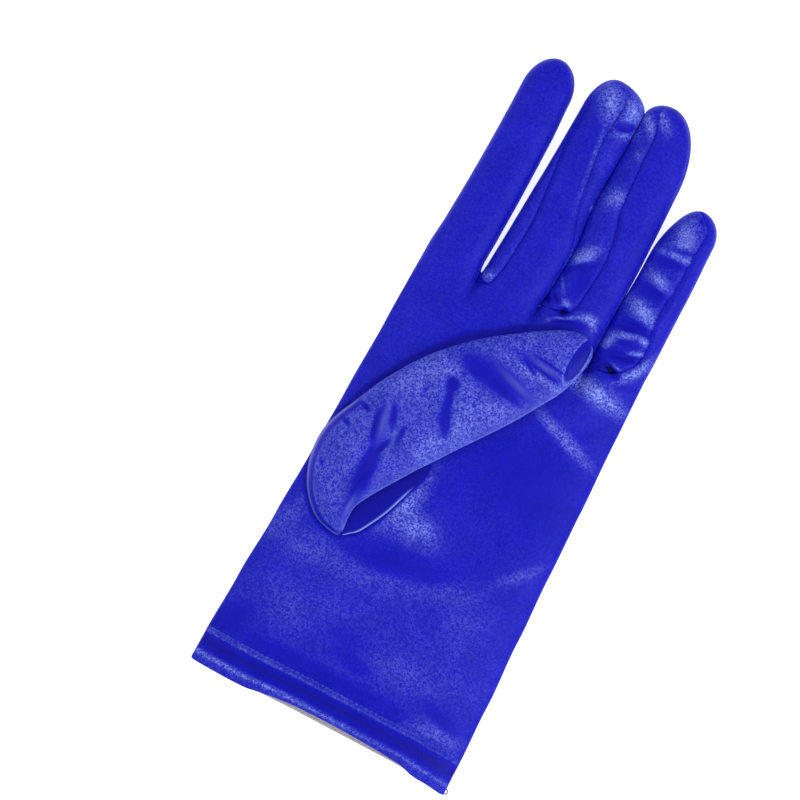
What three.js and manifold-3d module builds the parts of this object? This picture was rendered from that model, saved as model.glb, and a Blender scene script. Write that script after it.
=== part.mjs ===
// Wrist length dress glove of stretch satin, lying palm up with its thumb folded across the palm.
// Millimetres. X runs across the palm towards the little finger, Y from the cuff to the fingertips
// and Z up. The glove rests on its back at Z 0.

import * as THREE from 'three';
import { mergeVertices } from 'three/addons/utils/BufferGeometryUtils.js';
import Module from 'manifold-3d';

const wasm = await Module();
wasm.setup();

// Driving dimensions of the hand
const PALM_LENGTH = 155;
const CUFF_WIDTH = 92.5;
const PALM_HEIGHT = 9;
const PALM_EDGE = 2.6;
const CLOTH = 1;
const SEAM_GAP = 0.3;

// Driving dimensions of the hem
const HEM_DEPTH = 12;
const HEM_CLOTH = 1.7;
const BACK_SHOWS = 1;

// Driving dimensions of the thumb, whose seam is an oval in the palm
const THUMB_SEAM_LENGTH = 56;
const THUMB_SEAM_WIDTH = 30.8;
const THUMB_SEAM_TURN = 3;
const THUMB_SEAM_UP = 86.3;
const THUMB_SEAM_IN = 2.7;
const THUMB_LENGTH = 78.5;
const THUMB_WIDTH = 32;
const THUMB_HEIGHT = 7.4;
const THUMB_TURN = 38.7;

// Driving dimensions of the index, middle, ring and little fingers: length is from the end of the
// palm to the tip, gap is the space to the next finger and lean is how far the tip swings towards
// the little finger
const FINGERS = [
  { length: 73.3, width: 18.4, height: 8, gap: 1.6, lean: 0.8 },
  { length: 76.4, width: 20.6, height: 8.2, gap: 0.5, lean: 0.6 },
  { length: 76.6, width: 22.2, height: 8.2, gap: 0.6, lean: 0.2 },
  { length: 51.4, width: 18.6, height: 7.6, gap: 0, lean: -0.2 },
];
const FINGER_EDGE = 2.8;
const FINGER_ROOT = 12;

// Side strips between the fingers: under is the width that turns under the first finger's side,
// base and tip are the widths that face up on the second finger, and slit is the slit's depth into
// the palm. A strip opens to its base width over the ease, a share of that width.
const FOURCHETTES = [
  { name: 'fourchette_index_middle', first: 0, under: 2, base: 4.8, tip: 1.6, slit: 0 },
  { name: 'fourchette_middle_ring', first: 1, under: 2, base: 10.6, tip: 7, slit: 0 },
  { name: 'fourchette_ring_little', first: 2, under: 2, base: 13, tip: 11, slit: 9.5 },
];
const FOURCHETTE_BELOW = 3;
const FOURCHETTE_BACK = 2.4;
const FOURCHETTE_TO_TIP = 4.5;
const FOURCHETTE_EASE = 0.9;

// Outline of the palm: along is the share of the palm's length, narrowing the share of the way from
// the cuff's width to the knuckles' width and rise the share of the palm's height
const PALM_ROWS = [
  { along: 0, narrowing: 0, rise: 0.98 },
  { along: 0.06, narrowing: 0.03, rise: 0.98 },
  { along: 0.2, narrowing: 0.2, rise: 1 },
  { along: 0.35, narrowing: 0.45, rise: 1 },
  { along: 0.5, narrowing: 0.63, rise: 1 },
  { along: 0.65, narrowing: 0.75, rise: 1 },
  { along: 0.82, narrowing: 0.9, rise: 0.98 },
  { along: 1, narrowing: 1, rise: 0.9 },
];

// Outline of a finger below its round tip, as shares of its length, width and height; its root
// sinks into the palm
const FINGER_ROWS = [
  { along: -0.22, breadth: 1, rise: 0.45 },
  { along: 0, breadth: 1, rise: 0.98 },
  { along: 0.15, breadth: 0.97, rise: 0.98 },
  { along: 0.45, breadth: 0.95, rise: 0.96 },
  { along: 0.7, breadth: 0.97, rise: 0.97 },
  { along: 1, breadth: 0.96, rise: 0.9 },
];
const TIP_ROUND = 0.56;
const TIP_RISE = 0.34;

// Sections of the thumb from its seam to its tip. along is a share of the thumb's length, aside of
// its width and heading is in degrees from Y towards X. reach is half the distance between the
// middle of the upper layer and the middle of the lower one, as a share of the seam's length, and
// breadth and rise are shares of the thumb's width and height.
const THUMB_ROWS = [
  { along: 0.002, aside: -0.028, heading: 4, reach: 0.473, breadth: 0.985, rise: 0.5 },
  { along: 0.022, aside: -0.09, heading: 8, reach: 0.424, breadth: 0.96, rise: 0.84 },
  { along: 0.089, aside: -0.138, heading: 14, reach: 0.34, breadth: 0.98, rise: 1 },
  { along: 0.179, aside: -0.18, heading: 24, reach: 0.25, breadth: 1.01, rise: 1.05 },
  { along: 0.269, aside: -0.208, heading: 31, reach: 0.164, breadth: 1.03, rise: 1.06 },
  { along: 0.342, aside: -0.206, heading: 35, reach: 0.064, breadth: 1.03, rise: 1.04 },
  { along: 0.416, aside: -0.208, heading: 38, reach: 0, breadth: 1, rise: 1.02 },
  { along: 0.5, aside: -0.205, heading: 38.7, reach: 0, breadth: 0.96, rise: 1 },
  { along: 0.59, aside: -0.203, heading: 38.7, reach: 0, breadth: 0.9, rise: 1 },
  { along: 0.716, aside: -0.195, heading: 38.7, reach: 0, breadth: 0.77, rise: 0.98 },
  { along: 0.844, aside: -0.18, heading: 38.7, reach: 0, breadth: 0.61, rise: 0.95 },
  { along: 0.925, aside: -0.18, heading: 38.7, reach: 0, breadth: 0.47, rise: 0.9 },
  { along: 0.967, aside: -0.18, heading: 38.7, reach: 0, breadth: 0.37, rise: 0.8 },
  { along: 0.991, aside: -0.185, heading: 38.7, reach: 0, breadth: 0.23, rise: 0.65 },
  { along: 1, aside: -0.19, heading: 38.7, reach: 0, breadth: 0.08, rise: 0.5 },
];

// Soft folds of the upper layer. across is a share of half the palm's width and along a share of
// the palm's length, run and spread are half lengths in millimetres along and across the fold,
// turn is in degrees from Y towards X and rise is the height, negative in a hollow.
const PALM_FOLDS = [
  { across: 0.74, along: 0.89, run: 12, spread: 3.6, turn: 50, rise: 0.7 },
  { across: 0.8, along: 0.82, run: 10, spread: 3.2, turn: 50, rise: -0.6 },
  { across: 0.45, along: 0.74, run: 16, spread: 4.5, turn: 125, rise: -0.5 },
  { across: -0.05, along: 0.5, run: 16, spread: 5, turn: 40, rise: 0.5 },
  { across: 0.3, along: 0.42, run: 34, spread: 7, turn: 30, rise: -0.6 },
  { across: -0.35, along: 0.25, run: 30, spread: 7, turn: 20, rise: 0.5 },
  { across: 0.1, along: 0.14, run: 30, spread: 6, turn: 60, rise: -0.4 },
];

// Wrinkles of the fingers: finger counts from the index finger, across is a share of half the
// finger's width and along a share of its length from the end of the palm
const FINGER_FOLDS = [
  { finger: 1, across: -0.45, along: 0.3, run: 26, spread: 2.2, turn: 0, rise: -0.5 },
  { finger: 1, across: 0.1, along: 0.88, run: 5, spread: 4.5, turn: 60, rise: 0.5 },
  { finger: 2, across: -0.55, along: 0.22, run: 6, spread: 3.2, turn: 70, rise: 0.6 },
  { finger: 2, across: -0.55, along: 0.4, run: 6, spread: 3, turn: 70, rise: -0.5 },
  { finger: 2, across: -0.5, along: 0.6, run: 6, spread: 3.2, turn: 70, rise: 0.5 },
  { finger: 2, across: -0.1, along: 0.35, run: 24, spread: 2, turn: 0, rise: -0.6 },
  { finger: 3, across: -0.4, along: 0.06, run: 7, spread: 2.2, turn: 85, rise: 0.8 },
  { finger: 3, across: -0.4, along: 0.16, run: 7, spread: 1.9, turn: 85, rise: -0.8 },
  { finger: 3, across: -0.35, along: 0.28, run: 7, spread: 2, turn: 80, rise: 0.8 },
  { finger: 3, across: -0.35, along: 0.4, run: 7, spread: 1.9, turn: 80, rise: -0.8 },
  { finger: 3, across: -0.3, along: 0.5, run: 7, spread: 2, turn: 80, rise: 0.8 },
  { finger: 3, across: -0.3, along: 0.6, run: 7, spread: 1.9, turn: 80, rise: -0.7 },
  { finger: 3, across: -0.2, along: 0.74, run: 7, spread: 2.6, turn: 75, rise: 0.7 },
];

// Folds of the thumb's upper layer, placed by shares of its length and width
const THUMB_FOLDS = [
  { along: 0.66, aside: -0.2, run: 16, spread: 1.8, turn: 125, rise: -0.7 },
  { along: 0.61, aside: -0.2, run: 16, spread: 1.9, turn: 125, rise: 0.6 },
  { along: 0.38, aside: -0.1, run: 12, spread: 2.4, turn: 155, rise: -0.9 },
  { along: 0.16, aside: -0.42, run: 7, spread: 1.8, turn: 0, rise: 0.7 },
  { along: 0.2, aside: -0.22, run: 9, spread: 2, turn: 145, rise: 0.8 },
  { along: 0.02, aside: -0.05, run: 18, spread: 2.6, turn: 25, rise: -0.9 },
  { along: -0.1, aside: -0.3, run: 16, spread: 3, turn: 15, rise: 0.6 },
];

// Forms of the sections: power of a layer's crown, share of the lower layer that lies flat, power
// of the thumb's flattened oval and of the curve in which the palm side of the hem falls short
const CROWN_POWER = 3.2;
const FLAT_SHARE = 0.8;
const THUMB_OVAL_POWER = 0.85;
const HEM_CURVE_POWER = 4;

// Mesh columns and rows
const PALM_COLUMNS = 26;
const PALM_BELOW = 8;
const PALM_STEPS = 20;
const FINGER_COLUMNS = 14;
const FINGER_BELOW = 6;
const FINGER_STEPS = 9;
const TIP_STEPS = 4;
const TIP_BLUNT = 0.4;
const HEM_STEPS = 6;
const THUMB_SIDES = 22;
const INNER_SHARE = 0.7;

// Room that cutting shapes take beyond what they cut
const BEYOND = 5;
const OVERLAP = 0.2;

const satin = { color: '#2020b8', roughness: 0.4, metalness: 0.1 };

// Height above everything
const THUMB_TOP = PALM_HEIGHT + SEAM_GAP + THUMB_HEIGHT * 2;

// Value of a table's column at a share along it, on straight lines between the rows
function column(rows, name, along) {
  const next = rows.findIndex((row) => row.along >= along);
  if (next < 0) return rows[rows.length - 1][name];
  if (next === 0) return rows[0][name];
  const a = rows[next - 1];
  const b = rows[next];
  const t = (along - a.along) / (b.along - a.along);
  return THREE.MathUtils.lerp(a[name], b[name], THREE.MathUtils.smoothstep(t, 0, 1));
}

// Unit vector in the plan at a heading in degrees from Y towards X
function heading(degrees) {
  const angle = THREE.MathUtils.degToRad(degrees);
  return new THREE.Vector2(Math.sin(angle), Math.cos(angle));
}

// The fingers side by side along the end of the palm, centred on it
const knuckleWidth = FINGERS.reduce((sum, finger) => sum + finger.width + finger.gap, 0);
let left = -knuckleWidth / 2;
for (const finger of FINGERS) {
  finger.centre = left + finger.width / 2;
  left += finger.width + finger.gap;
}

// Half the palm's width at a share along it
function palmHalf(along) {
  return THREE.MathUtils.lerp(CUFF_WIDTH, knuckleWidth, column(PALM_ROWS, 'narrowing', along)) / 2;
}

// Sides, height and height of the side folds of a finger at y. The tip closes in a quarter ellipse.
function fingerAt(finger, y) {
  const along = (y - PALM_LENGTH) / finger.length;
  const round = finger.width * TIP_ROUND;
  const toTip = Math.max(0, PALM_LENGTH + finger.length - y);
  const open = toTip >= round ? 1 : Math.sqrt(1 - (1 - toTip / round) ** 2);
  const half = (finger.width / 2) * column(FINGER_ROWS, 'breadth', along) * open;
  const centre = finger.centre + finger.lean * along;
  const closing = THREE.MathUtils.lerp(TIP_RISE, 1, open);
  return {
    left: centre - half,
    right: centre + half,
    height: finger.height * column(FINGER_ROWS, 'rise', along) * closing,
    edge: FINGER_EDGE * closing,
  };
}

// Places of all the folds in the plan
const thumbSeam = new THREE.Vector2(
  -palmHalf(THUMB_SEAM_UP / PALM_LENGTH) + THUMB_SEAM_IN + THUMB_SEAM_WIDTH / 2,
  THUMB_SEAM_UP,
);
const thumbAlong = heading(THUMB_TURN);
const thumbAside = heading(THUMB_TURN + 90);

function thumbPoint(row) {
  return thumbSeam.clone()
    .addScaledVector(thumbAlong, row.along * THUMB_LENGTH)
    .addScaledVector(thumbAside, row.aside * THUMB_WIDTH);
}

const layerFolds = [
  ...PALM_FOLDS.map((fold) => ({
    ...fold,
    place: new THREE.Vector2(fold.across * palmHalf(fold.along), fold.along * PALM_LENGTH),
  })),
  ...FINGER_FOLDS.map((fold) => {
    const y = PALM_LENGTH + fold.along * FINGERS[fold.finger].length;
    const at = fingerAt(FINGERS[fold.finger], y);
    const x = THREE.MathUtils.lerp(at.left, at.right, (fold.across + 1) / 2);
    return { ...fold, place: new THREE.Vector2(x, y) };
  }),
];
const thumbFolds = THUMB_FOLDS.map((fold) => ({ ...fold, place: thumbPoint(fold) }));

// Height that the folds add at a point of the plan: each is a bell along and across its line
function lift(folds, x, y) {
  return folds.reduce((sum, fold) => {
    const line = heading(fold.turn);
    const dx = x - fold.place.x;
    const dy = y - fold.place.y;
    const run = (dx * line.x + dy * line.y) / fold.run;
    const spread = (dx * line.y - dy * line.x) / fold.spread;
    return sum + fold.rise * Math.exp(-run * run - spread * spread);
  }, 0);
}

// Crown of a layer: 1 in the middle and 0 at the sides, v from -1 to 1
function crown(v) {
  return Math.sqrt(1 - Math.abs(v) ** CROWN_POWER);
}

// Curl of the lower layer up to the sides, flat over the middle
function curl(v) {
  return Math.max(0, (Math.abs(v) - FLAT_SHARE) / (1 - FLAT_SHARE)) ** 2;
}

// Closed mesh from rings of points, capped at both ends
function loft(rings) {
  const sides = rings[0].length;
  const points = rings.flat();
  const index = [];
  for (let ring = 0; ring + 1 < rings.length; ring += 1) {
    for (let j = 0; j < sides; j += 1) {
      const a = ring * sides + j;
      const b = ring * sides + ((j + 1) % sides);
      index.push(a, b, b + sides, a, b + sides, a + sides);
    }
  }
  const middle = (ring) => ring
    .reduce((sum, point) => sum.add(point), new THREE.Vector3())
    .divideScalar(sides);
  const first = points.push(middle(rings[0])) - 1;
  const last = points.push(middle(rings[rings.length - 1])) - 1;
  const end = (rings.length - 1) * sides;
  for (let j = 0; j < sides; j += 1) {
    index.push(first, (j + 1) % sides, j);
    index.push(last, end + j, end + ((j + 1) % sides));
  }
  const geometry = new THREE.BufferGeometry().setFromPoints(points);
  geometry.setIndex(index);
  return geometry;
}

// Ring of a flat-bottomed section at y, drawn in by the wall: over the top from left to right and
// back below
function ringAt({ y, left, right, height, edge }, wall, above, below) {
  const middle = (left + right) / 2;
  const half = Math.max((right - left) / 2 - wall, OVERLAP);
  const top = Math.max(height - wall - edge, OVERLAP);
  const ring = [];
  for (let j = 0; j < above; j += 1) {
    const v = -Math.cos((Math.PI * j) / above);
    const x = middle + v * half;
    ring.push(new THREE.Vector3(x, y, edge + (top + lift(layerFolds, x, y)) * crown(v)));
  }
  for (let j = 0; j < below; j += 1) {
    const v = Math.cos((Math.PI * j) / below);
    ring.push(new THREE.Vector3(middle + v * half, y, wall + (edge - wall) * curl(v)));
  }
  return ring;
}

// The palm and back as a solid drawn in by a wall
function palmSolid(wall, before) {
  const share = wall > 0 ? INNER_SHARE : 1;
  const steps = Math.round(PALM_STEPS * share);
  const rows = Array.from({ length: steps + 1 }, (_, i) => {
    const along = i / steps;
    const half = palmHalf(along);
    return {
      y: along * (PALM_LENGTH - wall),
      left: -half,
      right: half,
      height: PALM_HEIGHT * column(PALM_ROWS, 'rise', along),
      edge: PALM_EDGE,
    };
  });
  if (before > 0) rows.unshift({ ...rows[0], y: -before });
  const above = Math.round(PALM_COLUMNS * share);
  const below = Math.round(PALM_BELOW * share);
  return solid(loft(rows.map((row) => ringAt(row, wall, above, below))));
}

// Stations along a finger, from its root inside the palm to its round tip
function stations(finger, share) {
  const steps = Math.round(FINGER_STEPS * share);
  const round = finger.width * TIP_ROUND;
  const straightEnd = PALM_LENGTH + finger.length - round;
  const ys = Array.from({ length: steps }, (_, i) => (
    THREE.MathUtils.lerp(PALM_LENGTH - FINGER_ROOT, straightEnd, i / steps)));
  for (let i = 0; i <= TIP_STEPS; i += 1) {
    ys.push(straightEnd + round * Math.sin(((Math.PI / 2) * i) / (TIP_STEPS + TIP_BLUNT)));
  }
  return ys;
}

// One finger as a solid drawn in by a wall
function fingerSolid(finger, wall) {
  const share = wall > 0 ? INNER_SHARE : 1;
  const above = Math.round(FINGER_COLUMNS * share);
  const below = Math.round(FINGER_BELOW * share);
  const ys = stations(finger, share);
  const rings = ys.map((y, i) => {
    const back = wall * Math.max(0, 1 - (ys.length - 1 - i) / TIP_STEPS);
    const row = { ...fingerAt(finger, y), y: y - back };
    return ringAt(row, wall, above, below);
  });
  return solid(loft(rings));
}

// Solid from a closed geometry
function solid(geometry) {
  geometry.deleteAttribute('normal');
  geometry.deleteAttribute('uv');
  const merged = mergeVertices(geometry);
  return new wasm.Manifold(new wasm.Mesh({
    numProp: 3,
    vertProperties: new Float32Array(merged.attributes.position.array),
    triVerts: new Uint32Array(merged.index.array),
  }));
}

// Upright prism over a closed outline in the plan
function prism(outline, bottom, top) {
  const geometry = new THREE.ExtrudeGeometry(new THREE.Shape(outline), {
    depth: top - bottom,
    bevelEnabled: false,
    curveSegments: 1,
  });
  geometry.translate(0, 0, bottom);
  return solid(geometry);
}

function box(low, high) {
  const geometry = new THREE.BoxGeometry(high[0] - low[0], high[1] - low[1], high[2] - low[2]);
  geometry.translate((low[0] + high[0]) / 2, (low[1] + high[1]) / 2, (low[2] + high[2]) / 2);
  return solid(geometry);
}

const join = (solids) => solids.reduce((a, b) => a.add(b));

// The slit between two fingers where it reaches into the palm, wider by a wall
function slit(strip, wall) {
  const first = FINGERS[strip.first];
  const low = PALM_LENGTH - strip.slit - wall;
  const middle = first.centre + (first.width + first.gap) / 2;
  const half = first.gap / 2 + wall;
  return box([middle - half, low, -BEYOND], [middle + half, PALM_LENGTH + BEYOND, THUMB_TOP]);
}

// The whole hand as a solid drawn in by a wall, with its slits kept clear
function hand(wall, before) {
  const whole = join([palmSolid(wall, before), ...FINGERS.map((finger) => fingerSolid(finger, wall))]);
  return FOURCHETTES
    .filter((strip) => strip.slit > 0)
    .reduce((rest, strip) => rest.subtract(slit(strip, wall)), whole);
}

// Band of the plan along one side of a finger, between two distances in from that side
function sideBand(finger, side, outer, inner, low, bottom, top) {
  const high = PALM_LENGTH + finger.length - FOURCHETTE_TO_TIP;
  const root = [low, low + FOURCHETTE_BELOW / 2, low + FOURCHETTE_BELOW, low + FOURCHETTE_BELOW * 2];
  const between = stations(finger, 1).filter((y) => y > root[3] + CLOTH && y < high);
  const ys = [...root, ...between, high];
  const inward = side === 'left' ? 1 : -1;
  const at = (y, distance) => new THREE.Vector2(fingerAt(finger, y)[side] + inward * distance, y);
  const outline = [
    ...ys.map((y) => at(y, -outer)),
    ...ys.map((y) => at(y, inner(y))).reverse(),
  ];
  return prism(outline, bottom, top);
}

// Region of one side strip, wider by a clearance: on the upper layer its seams run where the table
// says, and on the lower layer close to the fingers' sides
function stripRegion(strip, grow) {
  const first = FINGERS[strip.first];
  const second = FINGERS[strip.first + 1];
  const low = PALM_LENGTH - strip.slit - FOURCHETTE_BELOW - grow;
  const halfGap = first.gap / 2;
  const facing = (y) => {
    const along = THREE.MathUtils.clamp((y - PALM_LENGTH) / second.length, 0, 1);
    const opening = THREE.MathUtils.clamp((y - low) / (strip.base * FOURCHETTE_EASE), 0, 1);
    const full = THREE.MathUtils.lerp(strip.base, strip.tip, along);
    return THREE.MathUtils.lerp(strip.under, full, Math.sin((opening * Math.PI) / 2)) + grow;
  };
  const turned = () => strip.under + grow;
  const behind = () => FOURCHETTE_BACK + grow;
  const middle = first.centre + first.width / 2 + halfGap;
  const crotchTop = PALM_LENGTH - strip.slit + CLOTH + OVERLAP;
  return join([
    sideBand(first, 'right', halfGap, turned, low, FINGER_EDGE, THUMB_TOP),
    sideBand(second, 'left', halfGap, facing, low, FINGER_EDGE, THUMB_TOP),
    sideBand(first, 'right', halfGap, behind, low, -BEYOND, FINGER_EDGE + OVERLAP),
    sideBand(second, 'left', halfGap, behind, low, -BEYOND, FINGER_EDGE + OVERLAP),
    box(
      [middle - halfGap - CLOTH, low, -BEYOND],
      [middle + halfGap + CLOTH, crotchTop, THUMB_TOP],
    ),
  ]);
}

// Height of the palm's upper face at a point of the plan
function palmTop(x, y) {
  const along = y / PALM_LENGTH;
  const v = THREE.MathUtils.clamp(x / palmHalf(along), -1, 1);
  const height = PALM_HEIGHT * column(PALM_ROWS, 'rise', along);
  return PALM_EDGE + (height - PALM_EDGE + lift(layerFolds, x, y)) * crown(v);
}

// Point of the thumb's seam oval at an angle, grown by a clearance
function seamPoint(angle, grow) {
  const along = heading(THUMB_SEAM_TURN);
  const aside = heading(THUMB_SEAM_TURN + 90);
  return thumbSeam.clone()
    .addScaledVector(aside, Math.cos(angle) * (THUMB_SEAM_WIDTH / 2 + grow))
    .addScaledVector(along, -Math.sin(angle) * (THUMB_SEAM_LENGTH / 2 + grow));
}

const angles = (sides) => Array.from({ length: sides }, (_, j) => Math.PI - (2 * Math.PI * j) / sides);

// Ring of the thumb's seam, laid on the palm's upper face and lifted by a step
function seamRing(grow, step, sides) {
  return angles(sides).map((angle) => {
    const at = seamPoint(angle, grow);
    return new THREE.Vector3(at.x, at.y, palmTop(at.x, at.y) + step);
  });
}

// Ring of one thumb section, drawn in by a wall: a flattened oval across its heading, leaning from
// flat in the seam to upright where the thumb lies across the palm
function thumbRing(row, wall, sides) {
  const centre = thumbPoint(row);
  const along = heading(row.heading);
  const aside = heading(row.heading + 90);
  const middle = PALM_HEIGHT + SEAM_GAP + (row.rise * THUMB_HEIGHT) / 2;
  const reach = Math.max(row.reach * THUMB_SEAM_LENGTH - wall, 0);
  const rise = Math.max((row.rise * THUMB_HEIGHT) / 2 - wall, OVERLAP);
  const half = Math.max((row.breadth * THUMB_WIDTH) / 2 - wall, OVERLAP);
  return angles(sides).map((angle) => {
    const c = Math.cos(angle);
    const s = Math.sin(angle);
    const across = Math.sign(c) * Math.abs(c) ** THUMB_OVAL_POWER * half;
    const over = Math.sign(s) * Math.abs(s) ** THUMB_OVAL_POWER;
    const x = centre.x + aside.x * across - along.x * reach * over;
    const y = centre.y + aside.y * across - along.y * reach * over;
    const fold = Math.max(s, 0) * lift(thumbFolds, x, y);
    return new THREE.Vector3(x, y, middle + rise * over + fold);
  });
}

// The thumb as a solid drawn in by a wall; its open mouth passes down through the palm
function thumbSolid(wall, sides, mouth) {
  const end = THUMB_ROWS.length - 1;
  const rings = THUMB_ROWS.map((row, i) => {
    const back = i === end ? wall / THUMB_LENGTH : 0;
    return thumbRing({ ...row, along: row.along - back }, wall, sides);
  });
  return solid(loft([seamRing(-wall, -mouth, sides), seamRing(-wall, SEAM_GAP, sides), ...rings]));
}

// The pieces
const outer = hand(0, 0);
const inner = hand(CLOTH, BEYOND);
const shell = outer.subtract(inner);

// The hem is the first stretch of the palm and back, as deep as the hem
const hemStretch = (depth) => (
  box([-CUFF_WIDTH, -BEYOND, -BEYOND], [CUFF_WIDTH, depth, THUMB_TOP]));

// The palm side of the hem stops short of the back, most in the middle
const cuffHalf = CUFF_WIDTH / 2;
const shortfall = Array.from({ length: 2 * HEM_STEPS + 1 }, (_, i) => {
  const v = 1 - i / HEM_STEPS;
  return new THREE.Vector2(v * cuffHalf, BACK_SHOWS * Math.sqrt(1 - v ** HEM_CURVE_POWER));
});
const palmShort = prism(
  [new THREE.Vector2(-cuffHalf, -BEYOND), new THREE.Vector2(cuffHalf, -BEYOND), ...shortfall],
  PALM_EDGE,
  THUMB_TOP,
);
const hem = outer.intersect(hemStretch(HEM_DEPTH))
  .subtract(palmSolid(HEM_CLOTH, BEYOND))
  .subtract(palmShort);

const thumbHole = prism(
  angles(THUMB_SIDES).map((angle) => seamPoint(angle, SEAM_GAP)),
  PALM_EDGE,
  THUMB_TOP,
);
const thumb = thumbSolid(0, THUMB_SIDES, CLOTH)
  .subtract(thumbSolid(CLOTH, Math.round(THUMB_SIDES * INNER_SHARE), PALM_HEIGHT));

const trank = FOURCHETTES.reduce(
  (rest, strip) => rest.subtract(stripRegion(strip, SEAM_GAP)),
  shell.subtract(hemStretch(HEM_DEPTH + SEAM_GAP)).subtract(thumbHole),
);

// Named mesh from a solid
function piece(name, body) {
  const mesh = body.getMesh();
  const geometry = new THREE.BufferGeometry();
  geometry.setAttribute('position', new THREE.BufferAttribute(mesh.vertProperties, 3));
  geometry.setIndex(new THREE.BufferAttribute(mesh.triVerts, 1));
  const made = new THREE.Mesh(geometry, new THREE.MeshStandardMaterial(satin));
  made.name = name;
  return made;
}

const glove = new THREE.Group();
glove.add(piece('trank', trank));
glove.add(piece('cuff_hem', hem));
glove.add(piece('thumb', thumb));
for (const strip of FOURCHETTES) {
  glove.add(piece(strip.name, shell.intersect(stripRegion(strip, 0))));
}

// The origin is under the middle of the glove
const size = new THREE.Box3().setFromObject(glove);
const centre = size.getCenter(new THREE.Vector3());
glove.position.set(-centre.x, -centre.y, 0);

export default glove;
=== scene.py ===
"""Wrist length dress glove of stretch satin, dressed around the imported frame.

Shapes are worked out in millimetres in the glove's own plan: X across the palm to the little finger,
Y from the cuff to the fingertips and Z up. The last step moves them onto the frame, in metres.
"""

import math

import bpy
import numpy as np
from bpy.props import FloatProperty, FloatVectorProperty, PointerProperty
from mathutils import Matrix, Vector


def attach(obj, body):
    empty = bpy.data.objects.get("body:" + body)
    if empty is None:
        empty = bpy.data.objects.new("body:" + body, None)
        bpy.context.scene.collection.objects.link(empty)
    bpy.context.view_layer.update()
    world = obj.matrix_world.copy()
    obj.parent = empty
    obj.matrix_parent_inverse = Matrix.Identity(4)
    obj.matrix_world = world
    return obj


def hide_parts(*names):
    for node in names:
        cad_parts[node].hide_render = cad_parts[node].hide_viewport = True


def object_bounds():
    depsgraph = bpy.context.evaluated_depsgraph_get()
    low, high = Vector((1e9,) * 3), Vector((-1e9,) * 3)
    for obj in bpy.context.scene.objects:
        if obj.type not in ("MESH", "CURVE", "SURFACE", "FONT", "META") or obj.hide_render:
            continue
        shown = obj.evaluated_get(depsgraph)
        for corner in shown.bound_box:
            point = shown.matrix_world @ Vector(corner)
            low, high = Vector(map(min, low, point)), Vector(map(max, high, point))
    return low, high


bl_info = {
    "name": "Satin dress glove",
    "version": (1, 0, 0),
    "blender": (4, 5, 0),
    "location": "View3D > Sidebar > Glove",
    "description": "Builds a satin dress glove with set-in thumb, side strips and stitched hem",
    "category": "Add Mesh",
}

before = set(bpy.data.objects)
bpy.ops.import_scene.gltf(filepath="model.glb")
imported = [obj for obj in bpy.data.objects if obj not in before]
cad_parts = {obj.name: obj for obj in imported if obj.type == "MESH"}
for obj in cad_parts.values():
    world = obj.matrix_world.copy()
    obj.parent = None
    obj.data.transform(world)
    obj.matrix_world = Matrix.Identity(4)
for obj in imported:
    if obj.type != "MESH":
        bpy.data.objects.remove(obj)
CAD_LOW, CAD_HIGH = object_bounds()

MM = 0.001
HALF_TURN = math.pi

# Sizes of the hand
PALM_LENGTH = 155.0
CUFF_WIDTH = 92.5
PALM_HEIGHT = 9.0
PALM_EDGE = 2.6
HEM_DEPTH = 12.0
THUMB_SEAM_LENGTH = 56.0
THUMB_SEAM_WIDTH = 30.8
THUMB_SEAM_TURN = 3.0
THUMB_SEAM_UP = 86.3
THUMB_SEAM_IN = 2.7

# Sections: the height of a finger's edge, the share of a tip's opening over which its nose rounds off,
# the share of the height left at its end, the power of the crown and the flat share of the back
FINGER_EDGE = 2.8
TIP_NOSE = 0.5
TIP_RISE = 0.34
CROWN_POWER = 2.7
FLAT_SHARE = 0.8

# Fingers from the index to the little one: how far the tip is from the cuff, where it peaks across, how
# long its left and right sides take to round off, and the finger's height
FINGERS = np.array([
    (228.4, -30.5, 12.0, 12.0, 8.0),
    (231.4, -10.5, 12.5, 8.0, 8.2),
    (231.6, 9.0, 7.0, 25.0, 8.2),
    (206.4, 33.5, 20.0, 9.5, 7.6),
])
TIP_Y, TIP_X, ROUND_LEFT, ROUND_RIGHT, HEIGHT = FINGERS.T

# Sides of each finger: y, left and right
FINGER_SIDES = [
    np.array([(155, -41.2, -22.2), (165, -40.3, -21.8), (183, -39.4, -21.4), (205, -38.9, -21.4),
              (216, -38.9, -21.9)]),
    np.array([(155, -21.0, 0.4), (158, -21, 1.0), (168, -20.4, 1.8), (177, -19.9, 2.05), (187, -19.4, 0.95),
              (195, -18.9, 0.7), (207, -18.4, 1.15), (219, -18.0, 1.6)]),
    np.array([(145, 0.1, 22.87), (155, 0.26, 22.98), (158, 0.86, 23.02), (163, 1.26, 23.12),
              (168, 1.66, 23.24), (177, 1.91, 23.4), (187, 0.81, 23.35), (195, 0.56, 23.3),
              (207, 1.01, 23.0)]),
    np.array([(145, 22.77, 41.6), (155, 22.87, 41.5), (163, 23.06, 41.5), (168, 23.2, 41.5),
              (177, 23.62, 41.5), (187, 23.85, 41.5), (200, 24.6, 41.5)]),
]

# Width at the knuckles, how far a finger's side may cross the line to the next one, and where those
# lines meet the knuckles
KNUCKLES = 82.5
SIDE_CROSSING = 0.1
BORDERS = np.array([-21.6, 0.05, 22.78])

# Lengths along the glove: over which the lines between the fingers, the fingers' outer sides and their
# height pass from the palm's to their own, in which a slit opens at its foot, and the most that a tip
# takes to its full height
LINE_EASE, SIDE_EASE, HEIGHT_EASE = 12, 8, 15
SLIT_OPEN = 3.5
TIP_OPEN = 11.0

# Share of a finger's height that its crown reaches
FULL_HEIGHT = 0.97

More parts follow.
